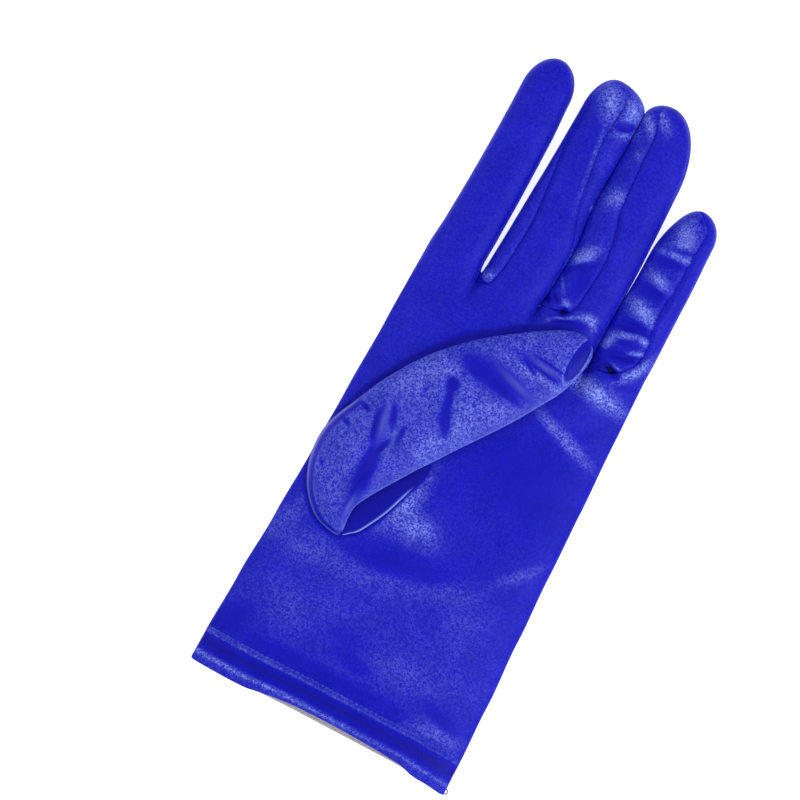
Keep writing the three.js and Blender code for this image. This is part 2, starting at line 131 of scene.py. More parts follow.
# Share of the palm's length, share of the way from the cuff's width to the knuckles', share of its height
PALM_ROWS = np.array([
    (0, 0, 0.98), (0.06, 0.03, 0.98), (0.2, 0.2, 1), (0.35, 0.45, 1),
    (0.5, 0.63, 1), (0.65, 0.75, 1), (0.82, 0.9, 0.98), (1, 1, 0.9),
])

# Side strips: slit depth into the palm, then the width that faces up at shares of the way from the
# crotch to the tip, on the first finger and on the second
SLIT = np.array([0.0, -1.0, 9.5])
STRIP_FIRST = [
    np.array([(0, 0.8), (1, 0.8)]),
    np.array([(0, 0.8), (0.25, 1.0), (0.39, 3.4), (0.56, 5.9), (0.72, 8.0), (0.82, 7.8), (1, 6.6)]),
    np.array([(0, 0.8), (1, 0.8)]),
]
STRIP_SECOND = [
    np.array([(0, 4.4), (0.15, 5.2), (0.36, 4.9), (0.55, 2.7), (0.65, 1.4), (1, 1.0)]),
    np.array([(0, 8.6), (0.07, 10.2), (0.4, 10.2), (0.52, 8.2), (0.72, 6.8), (0.86, 6), (1, 3)]),
    np.array([(0, 12.6), (0.2, 14.2), (0.38, 12), (0.62, 12.9), (0.8, 12.2), (0.9, 10.6), (1, 8)]),
]

# How far a strip runs below its slit, its width on the back, how long it takes to close at the tip and
# how far before the tip it ends, how long it takes to open at its foot, and its largest share of a finger
STRIP_BELOW = np.array([3.4, 1.2, 1.2])
STRIP_BACK = 2.4
STRIP_TO_TIP, STRIP_END = 5.5, 0.6
STRIP_ROUND = np.array([3.2, 2.2, 9.0])
STRIP_MOST = 0.75

# Ribs across the thumb from its foot to its tip: where each one starts on the seam or the upper edge,
# ends on the lower fold, and the seam's point across from it; whether the under layer ends there, or
# else goes back to the upper edge; then the heights of its two sides over the palm and its crown's rise
THUMB_RIBS = np.array([
    (-23.2, 57.7, -21.9, 58.6, -21.0, 58.8, 1, -0.5, -0.2, 0.3),
    (-26.8, 58.1, -22.0, 60.9, -19.3, 60.3, 1, 0.0, 0.9, 1.3),
    (-32.6, 60.3, -22.3, 64.5, -17.1, 62.2, 1, 0.0, 1.6, 2.8),
    (-38.3, 66.0, -22.1, 68.6, -14.2, 67.2, 1, 0.0, 2.3, 3.9),
    (-41.8, 73.0, -19.8, 73.4, -11.8, 72.2, 1, 0.0, 2.8, 4.6),
    (-43.2, 80.0, -16.6, 78.6, -9.9, 77.6, 1, 0.1, 3.1, 4.9),
    (-43.0, 86.5, -13.2, 83.8, -8.2, 82.8, 1, 0.4, 3.2, 4.9),
    (-41.3, 92.2, -9.9, 88.8, -6.8, 88.2, 1, 1.0, 3.3, 4.8),
    (-39.0, 97.2, -6.4, 93.6, -8.2, 95.0, 1, 1.8, 3.4, 4.6),
    (-36.6, 102.3, -2.6, 99.1, -14.0, 108.0, 0, 2.4, 3.4, 4.4),
    (-33.3, 109.2, 1.6, 104.9, -20.0, 113.0, 0, 2.6, 3.3, 4.1),
    (-26.6, 119.8, 6.5, 111.6, -20.0, 113.0, 0, 2.6, 3.2, 3.9),
    (-19.0, 128.8, 11.1, 118.4, -20.0, 113.0, 0, 2.6, 3.1, 3.8),
    (-9.7, 137.2, 15.3, 125.5, -20.0, 113.0, 0, 2.6, 3.0, 3.7),
    (0.5, 144.5, 19.0, 132.0, -20.0, 113.0, 0, 2.6, 2.9, 3.5),
    (8.4, 149.4, 21.1, 138.0, -20.0, 113.0, 0, 2.6, 2.9, 3.1),
    (13.4, 151.7, 22.2, 143.0, -20.0, 113.0, 0, 2.6, 2.8, 2.7),
    (17.2, 152.2, 22.5, 147.0, -20.0, 113.0, 0, 2.6, 2.7, 2.0),
    (20.8, 150.4, 21.4, 149.8, -20.0, 113.0, 0, 2.6, 2.6, 0.2),
])

# Folds of the upper layer: place x and y, half lengths along and across the line, turn of the line in
# degrees from Y towards X, and rise
HAND_FOLDS = np.array([
    (30.6, 138, 12, 3.6, 50, 0.7), (33.3, 127, 10, 3.2, 50, -0.6), (18.8, 115, 16, 4.5, 125, -0.5),
    (-2.1, 77.5, 16, 5, 40, 0.5), (13.1, 65, 34, 7, 30, -0.6), (-15.9, 38.8, 30, 7, 20, 0.5),
    (4.6, 21.7, 30, 6, 60, -0.4),
    (-15.5, 178, 26, 2.2, 0, -0.5), (-9, 222, 5, 4.5, 60, 0.5), (-2.2, 217.9, 3.2, 2.4, 62, 0.7),
    (-2.2, 218, 2, 1.2, 62, -1.3),
    (5, 172, 6, 3.2, 70, 0.6), (5, 186, 6, 3, 70, -0.5), (5.5, 201, 6, 3.2, 70, 0.5),
    (9.8, 182, 24, 2, 0, -0.6),
    (30.5, 166.5, 5, 2.4, 105, 1.0), (30.3, 179.3, 4.5, 2, 112, 0.9), (30.5, 157.5, 6, 1.8, 80, 0.9),
    (32, 194, 6, 3.5, 160, 0.6), (30.5, 186.2, 6, 1.4, 80, -0.8), (30.2, 174.0, 5.5, 1.7, 93, -1.0),
    (29.7, 162.2, 6, 1.6, 84, -1.1), (31.6, 152.3, 6.7, 1.5, 77, -1.2), (29.6, 146.6, 2.2, 0.7, 112, -2.2),
    (28.3, 145.9, 2.2, 0.7, 127, 0.6), (31, 147.6, 2.4, 0.7, 105, 0.6), (5.8, 175.5, 4, 2, 40, 0.7),
    (6.8, 171.6, 5.1, 1.0, 53, -0.7), (7.9, 155.9, 0.8, 0.8, 0, -2.0), (7.5, 158.6, 1.4, 1.2, 107, 0.7),
    (3.6, 160, 4, 0.6, 146, 0.5), (9.3, 154.2, 4.4, 0.7, 59, 0.5), (15.6, 157.6, 3, 1.6, 80, 0.5),
    (10.2, 152.6, 4.4, 0.8, 66, -0.5), (-19, 155.1, 1.7, 1.6, 121, 0.5),
])

# Folds of the thumb's upper layer, in the same columns
THUMB_FOLDS = np.array([
    (10.5, 136.4, 13, 1.3, 100, -0.9), (10, 133.2, 13, 1.2, 95, 0.8), (5, 127, 12, 2.4, 105, 0.4),
    (-10, 111, 13, 2.0, 155, -1.0), (-15, 113, 12, 2.2, 155, 0.6),
    (-31.5, 102.5, 6, 1.8, 145, 0.9), (-27, 99, 9, 2, 165, 0.8), (-24, 91, 16, 2.6, 25, -1.1),
    (-31, 82, 14, 3, 12, 0.6),
])


def smooth(t):
    """Eased share: 3t² - 2t³ of t held between 0 and 1."""
    t = np.clip(t, 0, 1)
    return t * t * (3 - 2 * t)


def bell(value, middle, half):
    """1 at the middle, falling off on both sides as exp(-((value - middle) / half)²)."""
    return np.exp(-((value - middle) / half) ** 2)


def along_table(table, column, at):
    """Value of a column at a share along a table, eased between its rows."""
    start = table[:, 0]
    row = np.clip(np.searchsorted(start, at) - 1, 0, len(start) - 2)
    t = smooth((at - start[row]) / (start[row + 1] - start[row]))
    return table[row, column] * (1 - t) + table[row + 1, column] * t


def natural_curve(values, at):
    """Smooth curve through values at whole numbers, read at given places."""
    i = np.clip(np.floor(at).astype(int), 0, len(values) - 2)
    t = at - i
    before = values[np.maximum(i - 1, 0)]
    after = values[np.minimum(i + 2, len(values) - 1)]
    a, b = values[i], values[i + 1]
    slope_a, slope_b = (b - before) / 2, (after - a) / 2
    return ((2 * t ** 3 - 3 * t ** 2 + 1) * a + (t ** 3 - 2 * t ** 2 + t) * slope_a
            + (3 * t ** 2 - 2 * t ** 3) * b + (t ** 3 - t ** 2) * slope_b)


def along_curve(table, column, at):
    """Value of a column at a place along a table, on a smooth curve through its rows."""
    return natural_curve(table[:, column], np.interp(at, table[:, 0], np.arange(len(table))))


def heading(degrees):
    """Unit vector in the plan, turned from Y towards X."""
    angle = np.radians(degrees)
    return np.stack([np.sin(angle), np.cos(angle)], -1)


def lift(folds, x, y):
    """Sum over the folds of rise · exp(-(run)² - (spread)²), run and spread in half lengths."""
    total = np.zeros(np.shape(x))
    for fold_x, fold_y, run, spread, turn, rise in folds:
        line = heading(turn)
        dx, dy = x - fold_x, y - fold_y
        total += rise * np.exp(-((dx * line[0] + dy * line[1]) / run) ** 2
                               - ((dx * line[1] - dy * line[0]) / spread) ** 2)
    return total


def palm_half(y):
    """Half the palm's width at y."""
    return (CUFF_WIDTH + (KNUCKLES - CUFF_WIDTH) * along_table(PALM_ROWS, 1, y / PALM_LENGTH)) / 2


def crown(v):
    """Section of an upper layer: sqrt(1 - |v|^power), 1 in the middle and 0 at the sides."""
    return np.sqrt(np.clip(1 - np.abs(v) ** CROWN_POWER, 0, 1))


def curl(v):
    """Section of a lower layer: flat over the middle, rising as a square to 1 at the sides."""
    return (np.clip(np.abs(v) - FLAT_SHARE, 0, 1) / (1 - FLAT_SHARE)) ** 2


def palm_top(x, y):
    """Height of the palm: edge + (height - edge + folds) · crown."""
    rise = PALM_HEIGHT * along_table(PALM_ROWS, 2, np.clip(y / PALM_LENGTH, 0, 1))
    v = np.clip(x / palm_half(y), -1, 1)
    return PALM_EDGE + (rise - PALM_EDGE + lift(HAND_FOLDS, x, y)) * crown(v)


def rounding(finger, y, length):
    """1 along a finger, closing to 0 at its tip as a quarter ellipse of the given length."""
    to_tip = np.clip(TIP_Y[finger] - y, 0, length)
    return np.sqrt(np.clip(1 - (1 - to_tip / length) ** 2, 0, 1))


def opening(finger, y):
    """How far a finger's height has opened from its tip: the lesser half of its roundings."""
    return rounding(finger, y, min(ROUND_LEFT[finger], ROUND_RIGHT[finger], TIP_OPEN))


def border(pair, y):
    """Line between two fingers: midway between their sides above the palm, spread with it below."""
    below = BORDERS[pair] * palm_half(np.minimum(y, PALM_LENGTH)) / (KNUCKLES / 2)
    above = (along_curve(FINGER_SIDES[pair], 2, y) + along_curve(FINGER_SIDES[pair + 1], 1, y)) / 2
    share = smooth((y - PALM_LENGTH) / LINE_EASE + 1)
    return below * (1 - share) + above * share


def finger_sides(finger, y):
    """Left and right sides of a finger at y. They meet the next finger's at the foot of the slit, and the
    palm's own side where there is no next finger."""
    peak, sides = TIP_X[finger], []
    for way, pair, lengths in ((-1, finger - 1, ROUND_LEFT), (1, finger, ROUND_RIGHT)):
        side = along_curve(FINGER_SIDES[finger], 1 if way < 0 else 2, y)
        side = peak + (side - peak) * rounding(finger, y, lengths[finger])
        if 0 <= pair <= 2:
            line = border(pair, y)
            parted = np.sqrt(np.clip((y - PALM_LENGTH + SLIT[pair]) / SLIT_OPEN, 0, 1))
            side = line + way * np.minimum(way * (side - line), SIDE_CROSSING) * parted
        else:
            own = smooth((y - PALM_LENGTH) / SIDE_EASE + 1)
            side = side * own + way * palm_half(np.minimum(y, PALM_LENGTH)) * (1 - own)
        sides.append(side)
    return sides


def parting(finger, y, v):
    """How far a finger has left the palm: 0 in the palm, 1 at the foot of its slits, eased across it."""
    share = []
    for pair in (finger - 1, finger):
        foot = PALM_LENGTH - (SLIT[pair] if 0 <= pair <= 2 else 0)
        share.append(smooth((y - foot) / HEIGHT_EASE + 1))
    t = smooth((v + 1) / 2)
    return np.where(y >= PALM_LENGTH, 1, share[0] * (1 - t) + share[1] * t)


def hand_height(finger, upper, x, y):
    """Height of the upper or lower layer: the palm's and the finger's own, mixed by the parting."""
    left, right = finger_sides(finger, y)
    v = np.clip((2 * x - left - right) / np.maximum(right - left, 1e-6), -1, 1)
    opened = opening(finger, y)
    closing = TIP_RISE + (1 - TIP_RISE) * opened
    nose = np.sqrt(np.clip(1 - (1 - np.clip(opened / TIP_NOSE, 0, 1)) ** 2, 0, 1))
    edge = FINGER_EDGE * closing
    w = parting(finger, y, v)
    palm_y = np.minimum(y, PALM_LENGTH)
    if not upper:
        palm = PALM_EDGE * curl(x / palm_half(palm_y))
        return palm * (1 - w) + edge * (1 - (1 - curl(v)) * nose) * w
    rise = HEIGHT[finger] * FULL_HEIGHT * closing
    own = edge + (rise - edge + lift(HAND_FOLDS, x, y) * closing) * crown(v) * nose
    return palm_top(x, palm_y) * (1 - w) + own * w


def tip_share(finger, y):
    """1 along a strip, closing to 0 just before the finger's tip as a quarter ellipse."""
    to_end = np.clip((TIP_Y[finger] - y - STRIP_END) / STRIP_TO_TIP, 0, 1)
    return np.sqrt(1 - (1 - to_end) ** 2)


def strip_width(pair, second, y):
    """Width of a strip that faces up on one finger, opening at its foot as a quarter ellipse and closing
    before the tip."""
    foot = strip_foot(pair)
    finger = pair + 1 if second else pair
    top = TIP_Y[finger]
    table = (STRIP_SECOND if second else STRIP_FIRST)[pair]
    full = along_curve(table, 1, (y - foot) / (top - foot))
    opened = np.sqrt(np.clip(1 - np.clip(1 - (y - foot) / STRIP_ROUND[pair], 0, 1) ** 2, 0, 1))
    left, right = finger_sides(finger, y)
    return np.minimum(full * opened, (right - left) * STRIP_MOST) * tip_share(finger, y)


def back_width(pair, second, y):
    """Width of a strip on the back of either finger."""
    opened = np.sin(np.clip((y - strip_foot(pair)) / STRIP_BACK, 0, 1) * HALF_TURN / 2)
    return STRIP_BACK * opened * tip_share(pair + 1 if second else pair, y)


# Painted highlights and painted shade on the hand, in the folds' columns, the last being how strongly:
# above 0 a painted highlight, below 0 painted shade
HAND_PAINTED_LIGHT_SHADE = np.array([
    (-6, 77.6, 6, 2.5, 15, 0.3), (19, 60, 10, 5, 80, 0.18), (27, 119.6, 12.6, 1.9, 111, 0.62),
    (30, 137.2, 10.6, 2.6, 98, 0.9), (-8.6, 78.8, 10.9, 2.9, 15, 0.6), (-1.5, 71.4, 7.3, 4.9, 95, 0.6),
    (-24.6, 50.8, 20, 6, 88, 0.24), (5.4, 53, 13.9, 4.5, 82, 0.12), (2, 36, 46, 15, 90, 0.02),
    (-3, 29, 10, 5, 88, -0.12), (-29, 31, 10, 7, 88, 0.08), (28, 46, 8, 7, 60, 0.07),
    (-14, 32.2, 34, 10, 75, 0.07), (-5, 15.6, 30, 1.8, 90, -0.35), (-32.2, 112.2, 9.3, 0.9, 30, -0.8),
    (-22.1, 127.1, 9.4, 0.9, 39, -0.8), (-9, 139.6, 10.2, 0.9, 55, -0.8),
    (6.6, 149.5, 9.8, 0.8, 61, -0.8), (-38, 60, 16, 3, 28, 0.2), (34.8, 73.9, 8.5, 1.9, 41, 0.26),
    (33.6, 15.3, 9.2, 2.9, 89, 0.4), (14, 27, 22, 6.5, 80, 0.15), (26.9, 52.5, 5.7, 2.4, 60, 0.14),
    (-1.1, 58.8, 17.6, 3.8, 78, -0.36), (1.5, 23.2, 6.5, 2.6, 95, -0.22),
    (34.9, 20.4, 4.9, 1.6, 105, -0.4), (-43, 16.3, 8.1, 2.9, 42, -0.4),
    (24.8, 101.3, 25.2, 14.6, 111, -0.25), (-10.1, 223.2, 5.2, 3.4, 152, 0.8),
    (7.2, 225.7, 4.3, 1.6, 128, 0.65), (-7.2, 206, 16, 0.7, 172, 0.22),
    (9.3, 154.5, 4.1, 0.5, 59, 0.75), (15.6, 157.6, 2.6, 1.4, 80, 0.75),
    (18.3, 156.6, 1.9, 1, 152, 0.6), (17.2, 156.9, 2.2, 1.5, 150, 0.5),
    (10.2, 153.1, 4.4, 0.7, 68, -0.6), (4.9, 151, 0.6, 0.8, 88, 0.7), (36.9, 148.8, 6.4, 1.6, 35, 0.85),
    (38.8, 153, 3.5, 1.2, 20, 0.4), (25.8, 138.9, 3.9, 2.2, 95, 0.5), (36.1, 143.2, 3, 0.8, 72, -0.5),
    (7.9, 155.7, 1.1, 1, 152, -2.9), (29.6, 146.2, 2.6, 0.9, 112, -2.9),
    (-20, 151.6, 1, 0.8, 129, -0.7),
])

# Painted highlights and painted shade on the side strips, in the same columns
STRIP_PAINTED_LIGHT_SHADE = np.array([
    (32, 195, 6.2, 3.3, 160, 0.8), (31.7, 189.2, 5.9, 1.5, 85, 0.5), (33.1, 190.9, 3.8, 1.2, 78, -0.7),
    (34.1, 203.1, 0.7, 0.8, 125, -0.7), (30.3, 179.3, 3.9, 1.8, 115, 0.75),
    (30.5, 167.8, 5.4, 2.4, 108, 0.9), (25.1, 154.4, 3, 1.4, 15, 0.7), (29.1, 158.7, 3.5, 1.1, 67, 0.8),
    (34.8, 159.7, 2.4, 1.1, 100, 0.8), (34.1, 154.5, 3.8, 0.9, 64, 0.8),
    (30.5, 156.5, 3.3, 1.2, 79, -0.25), (30.5, 186.2, 6, 1.2, 80, -0.5),
    (30.2, 175.1, 4.7, 1.5, 93, -0.5), (29.7, 161.9, 5.8, 1.7, 84, -0.6),
    (31.6, 152.3, 6.7, 1.4, 77, -0.8), (29.5, 146.6, 2.7, 1, 112, -3.4), (29.8, 148, 2.4, 0.5, 97, 0.9),
    (32.3, 145.9, 1.5, 0.5, 164, 0.7), (28.3, 145.6, 1.9, 0.4, 127, 0.5),
    (26.1, 145.8, 0.5, 0.5, 152, -1.2), (5.8, 175.5, 4.1, 2, 39, 0.95),
    (5.7, 196.5, 3.6, 2.7, 53, 0.55), (6.8, 171.9, 5.1, 0.8, 53, -0.5),
    (9.1, 166.9, 4.9, 3.3, 172, -0.3), (1.9, 157.3, 1.2, 0.6, 138, -2.6),
    (4.1, 158.7, 1.1, 0.6, 129, -2.4), (7.5, 158.6, 1.3, 1.2, 107, 0.8),
    (7.9, 155.8, 1.1, 1, 152, -3.2), (3.7, 163.8, 2.7, 0.4, 146, 0.4), (0.4, 190.3, 1, 0.4, 6, 0.5),
    (5.7, 212.3, 2.1, 1.3, 175, 0.3), (4.1, 222.6, 5.2, 1.3, 139, 0.6),
    (-19, 155.1, 1.6, 1.8, 121, 0.6), (-20, 152, 1, 0.8, 129, -0.9), (-2.6, 224, 4.4, 2.8, 152, 0.7),
    (-2.2, 217.6, 3.6, 2.6, 62, 1), (-2.2, 218, 2.6, 1.6, 62, -2),
])

# Painted highlights and painted shade on the thumb's upper layer, in the same columns
THUMB_PAINTED_LIGHT_SHADE = np.array([
    (-11, 95, 5, 4, 40, 0.24), (1.9, 116.7, 10, 3.5, 62, 0.24), (-15.6, 122.1, 3.5, 2.5, 62, 0.25),
    (-7, 119.4, 3, 2.5, 62, 0.16), (9.9, 132.9, 9, 1.4, 96, 0.5), (-23, 115.3, 9, 5, 35, 0.28),
    (-5.4, 104.6, 11, 3.5, 30, 0.3), (-8.8, 126.5, 5, 3, 90, -0.25), (-24.1, 78.2, 8, 2.5, 173, -0.3),
    (-3.6, 125.8, 11.9, 3.4, 107, -0.42), (4.6, 127.8, 8, 1.7, 107, -0.8),
    (10.4, 136.2, 6.7, 1.2, 98, -0.8), (-13, 118.5, 2.3, 1.5, 148, -1.1),
    (-11.7, 113.8, 3, 0.8, 155, -0.8), (-9.3, 106.4, 5.2, 1.5, 153, -1.1),
    (-19.7, 113.2, 2.3, 0.8, 7, -0.5), (-24.8, 100.5, 4.1, 1, 162, -0.6),
    (-20.1, 96.2, 2.5, 0.6, 0, -1), (4.3, 123.6, 4.9, 0.9, 105, -0.7),
    (-28.7, 94.6, 3.6, 0.4, 165, -1.8), (-34.1, 98.9, 1.4, 0.5, 112, -1.6),
    (-24.7, 81.5, 8.7, 2.4, 177, -0.6), (-23.5, 89.7, 3.3, 0.6, 25, -1.1),
    (-37.5, 91.8, 1.2, 0.6, 107, -0.9), (-38.4, 76.5, 1.4, 0.5, 131, -0.6),
    (-27.5, 96.9, 5.1, 1.3, 165, -0.8), (-23.8, 67.8, 4.1, 1.4, 1, -0.6),
    (12.1, 138.4, 5.2, 0.4, 96, -1), (6.7, 134.3, 5, 0.4, 114, -0.8),
])

# Painted sheen of plain cloth on the hand, the strips, the thumb and the back
HAND_BASE, STRIP_BASE, THUMB_BASE, BACK_BASE = 0.03, 0.05, 0.31, 0.15

# Least and most of the painted light and shade: the painted shade of a fold darkens the cloth down to the
# least
PAINTED_LIGHT_SHADE_ENDS = (-3, 1)

# Smooth painted highlight of the strips: the painted sheen where it starts, and its strength where the
# painted sheen is full
STRIP_PAINTED_HIGHLIGHT_FROM, STRIP_PAINTED_HIGHLIGHT = 0.3, 0.26

# Smooth painted highlight bands along the folds of the thumb, in the same columns
THUMB_PAINTED_HIGHLIGHTS = np.array([
    (-26.8, 97.3, 5.9, 0.9, 168, 0.3), (-21.2, 93.3, 4.6, 0.8, 178, 0.16),
    (-23.8, 68.1, 3.8, 0.8, 1, 0.24), (5.4, 127.8, 7.2, 1.2, 107, 0.22),
    (11.3, 136.9, 5.3, 0.9, 97, 0.26),
])


def lustre_at(table, base, points):
    """Painted sheen and shade at points, a base and the table's bells: painted highlight up to 1, and
    painted shade below 0 where a fold is painted dark."""
    return np.clip(base + lift(table, points[:, 0], points[:, 1]), *PAINTED_LIGHT_SHADE_ENDS)


# How far the little-finger side is spread: place y, shift; then where across the palm the shift starts
# and over what width it grows
SIDE_SET = np.array([
    (-5, 1.1), (0, 1.15), (60, 1.5), (90, 1.4), (120, 1.1), (140, 0.85), (178, 0.5), (198, 0), (240, 0),
])
SET_FROM, SET_OVER = 8, 34

# How far the hem's edge is drawn up: place x, shift of its front alone, shift of front and back; then how
# far up the glove the shift reaches, and the heights between which a point comes to count as the front
HEM_SET = np.array([
    (-60, 0, 0), (-32, 0, 0), (-8, 0.7, 0.5), (28, 0.65, 0.55), (37, 0, -0.1), (48, 0, -1.2), (60, 0, -1.2),
])
SET_REACH = 14
FRONT_FROM, FRONT_OVER = 1, 1.5

# Waves across the hem: place, half width, rise
HEM_WAVES = [
    (13.2, 0.5, -0.5), (12.3, 0.5, 0.22), (11.5, 0.35, -0.45), (10.7, 0.5, 0.22), (9.7, 0.8, -0.35),
    (4.7, 0.9, -0.3), (3.2, 0.8, 0.4), (2.0, 0.5, -0.25),
]

# Groove of a sewn seam and the puffed cloth beside it: depth and half width, then place, half width and
# rise; its share on the first finger of a pair and on the back; how long it takes to start at its foot;
# and the strip's width from which it is whole
SEAM_DEPTH, SEAM_HALF = 0.6, 0.8
PUFF_AT, PUFF_HALF, PUFF_RISE = 1.9, 1.0, 0.1
FIRST_SEAM, BACK_SEAM = 0.35, -0.5
SEAM_START = 1.2
SEAM_ROOM = 2.5

# Painted shade on the satin where a layer turns under at its edge: strength, and the height it fades over
EDGE_SHADE, EDGE_FADE = 0.7, 1.5


def hem_relief(y):
    """Ridges and grooves of the hem: two stitched rows, and the fold near the cuff's edge."""
    return sum(rise * bell(y, place, half) for place, half, rise in HEM_WAVES)


def edge_shade(z):
    """Painted shade on the satin at a layer's edge, from the height alone."""
    return -EDGE_SHADE * (1 - smooth((z - PALM_EDGE) / EDGE_FADE))


def seam_relief(distance):
    """Groove of a sewn seam with the cloth puffed beside it, from the distance to the seam."""
    return PUFF_RISE * bell(distance, PUFF_AT, PUFF_HALF) - SEAM_DEPTH * bell(distance, 0, SEAM_HALF)


def strip_foot(pair):
    """How far up the glove the foot of a side strip is."""
    return PALM_LENGTH - SLIT[pair] - STRIP_BELOW[pair]


# Where the rows of points are set: close together by the hem, even over the palm, and closer again round
# the fingers' roots, from ROOT_START to CROTCH_END; then the columns across a finger's front and back
HEM_CLOSE = 15.0
ROOT_START = 136.0
CROTCH_END = 171.0
PALM_STATIONS = np.concatenate([
    np.linspace(HEM_DEPTH + 0.15, HEM_CLOSE, 9)[:-1], np.linspace(HEM_CLOSE, ROOT_START, 120)])
ROOT_STATIONS = np.linspace(ROOT_START, PALM_LENGTH, 33)
FOOT_STATIONS = np.array([0, 0.12, 0.4])
COLUMNS, BACK_COLUMNS = 27, 12


def finger_rows(finger, step=0.9):
    """Stations along a finger: even to the round tip, then closer together."""
    rounded = max(ROUND_LEFT[finger], ROUND_RIGHT[finger])
    straight = TIP_Y[finger] - rounded
    near = np.linspace(PALM_LENGTH, CROTCH_END, 33)[:-1]
    even = np.linspace(CROTCH_END, straight, int((straight - CROTCH_END) / step))
    tip = straight + rounded * np.sin(np.linspace(0, HALF_TURN / 2, 12 + int(rounded))[1:])
    feet = np.array([strip_foot(pair) + FOOT_STATIONS for pair in range(3)])
    return np.unique(np.concatenate([ROOT_STATIONS[:-1], near, even, tip, feet.ravel()]))


def shares(finger, upper):
    """Column shares across a finger, closer together at the hand's outer edges."""
    count = COLUMNS if upper else BACK_COLUMNS
    u = np.linspace(0, 1, count)
    if finger == 0:
        return 1 - np.cos(u * HALF_TURN / 2) if upper else u ** 1.6
    if finger == 3:
        return np.sin(u * HALF_TURN / 2) if upper else 1 - (1 - u) ** 1.6
    return u


def hand_patch(finger, upper, ys):
    """Grid of the trank over one finger or its share of the palm: x runs from seam to seam."""
    left, right = finger_sides(finger, ys)
    low, high = left.copy(), right.copy()
    if finger > 0:
        low = low + (strip_width(finger - 1, True, ys) if upper else back_width(finger - 1, True, ys))
    if finger < 3:
        high = high - (strip_width(finger, False, ys) if upper else back_width(finger, False, ys))
    middle = (low + high) / 2
    low, high = np.minimum(low, middle), np.maximum(high, middle)
    t = shares(finger, upper)
    x = low[:, None] + (high - low)[:, None] * t
    y = np.broadcast_to(ys[:, None], x.shape)
    z = hand_height(finger, upper, x, y)
    for pair, line, side, share in ((finger - 1, low, left, 1.0), (finger, high, right, FIRST_SEAM)):
        if 0 <= pair <= 2:
            ramp = smooth((y - strip_foot(pair)) / SEAM_START + 1)
            ramp = ramp * np.minimum(1, np.abs(line - side) / SEAM_ROOM)[:, None]
            relief = share * seam_relief(np.abs(x - line[:, None])) * ramp * (1 if upper else BACK_SEAM)
            z = z + relief * np.minimum(1, opening(finger, y) * 2)
    return np.stack([x, y, np.maximum(z, 0)], -1)


def strip_patch(pair, second, upper, columns):
    """Grid of a side strip on one finger: x runs from its seam to the finger's side."""
    finger = pair + 1 if second else pair
    ys = finger_rows(finger)
    ys = ys[ys >= strip_foot(pair) - 1e-6]
    left, right = finger_sides(finger, ys)
    width = strip_width(pair, second, ys) if upper else back_width(pair, second, ys)
    side = left if second else right
    seam = side + width if second else side - width
    u = np.linspace(0, 1, columns)
    t = np.sin(u * HALF_TURN / 2)
    x = seam[:, None] + (side - seam)[:, None] * t
    y = np.broadcast_to(ys[:, None], x.shape)
    z = hand_height(finger, upper, x, y)
    relief = seam_relief(np.abs(x - seam[:, None])) * (1 if upper else BACK_SEAM)
    relief = relief * (1 if second else FIRST_SEAM)
    z = z + relief * np.minimum(1, opening(finger, y) * 2) * np.minimum(1, width / SEAM_ROOM)[:, None]
    points = np.stack([x, y, np.maximum(z, 0)], -1)
    return points if upper != second else points[:, ::-1]


def grid_faces(shape, start=0, wrap=False, ring=False):
    """Quads over a grid of points, counterclockwise seen from above where x grows with the columns. The
    last column is joined to the first where it wraps, and so is the last row in a ring."""
    rows, columns = shape
    i, j = np.meshgrid(np.arange(rows if ring else rows - 1), np.arange(columns if wrap else columns - 1),
                       indexing="ij")
    n, k = (i + 1) % rows, (j + 1) % columns
    corners = [i * columns + j, i * columns + k, n * columns + k, n * columns + j]
    return start + np.stack(corners, -1).reshape(-1, 4)


def join_grids(grids):
    """Points and quads of several grids, one after the other."""
    starts = np.cumsum([0] + [grid.shape[0] * grid.shape[1] for grid in grids])
    faces = [grid_faces(grid.shape[:2], start) for grid, start in zip(grids, starts)]
    return np.concatenate([grid.reshape(-1, 3) for grid in grids]), np.concatenate(faces)


def weld(points, faces, size=2e-3):
    """Joins points that lie together and drops the faces and corners that this closes up; gives the
    kept points, the polygons and which points were kept."""
    key = np.round(points / size).astype(np.int64)
    _, first, back = np.unique(key, axis=0, return_index=True, return_inverse=True)
    faces = back.reshape(-1)[faces]
    same = faces == np.roll(faces, -1, axis=1)
    whole = faces[~same.any(axis=1)]
    short = faces[same.sum(axis=1) == 1]
    corner = np.argmax(short == np.roll(short, -1, axis=1), axis=1)
    keep = (corner[:, None] + np.array([1, 2, 3])) % 4
    triangles = np.take_along_axis(short, keep, axis=1)
    distinct = ((triangles[:, 0] != triangles[:, 1]) & (triangles[:, 1] != triangles[:, 2])
                & (triangles[:, 0] != triangles[:, 2]))
    polygons = whole.tolist() + triangles[distinct].tolist()
    return points[first], polygons, first


def settle(points):
    """Points as the cloth lies: the little-finger side spread out by a table along y, the front of the
    hem drawn up and its corner down by a table across x, both fading up the glove as exp(-y / reach)."""
    x, y, z = points.T
    near = np.exp(-np.maximum(y, 0) / SET_REACH)
    out = along_table(SIDE_SET, 1, y) * smooth((x - SET_FROM) / SET_OVER)
    front = smooth((z - FRONT_FROM) / FRONT_OVER)
    up = near * (along_table(HEM_SET, 1, x) * front + along_table(HEM_SET, 2, x))
    return points + np.stack([out, up, np.zeros_like(z)], -1)


def plan_shift():
    """The frame has its origin under the middle of the glove, so the cuff's edge is at its lowest y."""
    return CAD_LOW[1] / MM


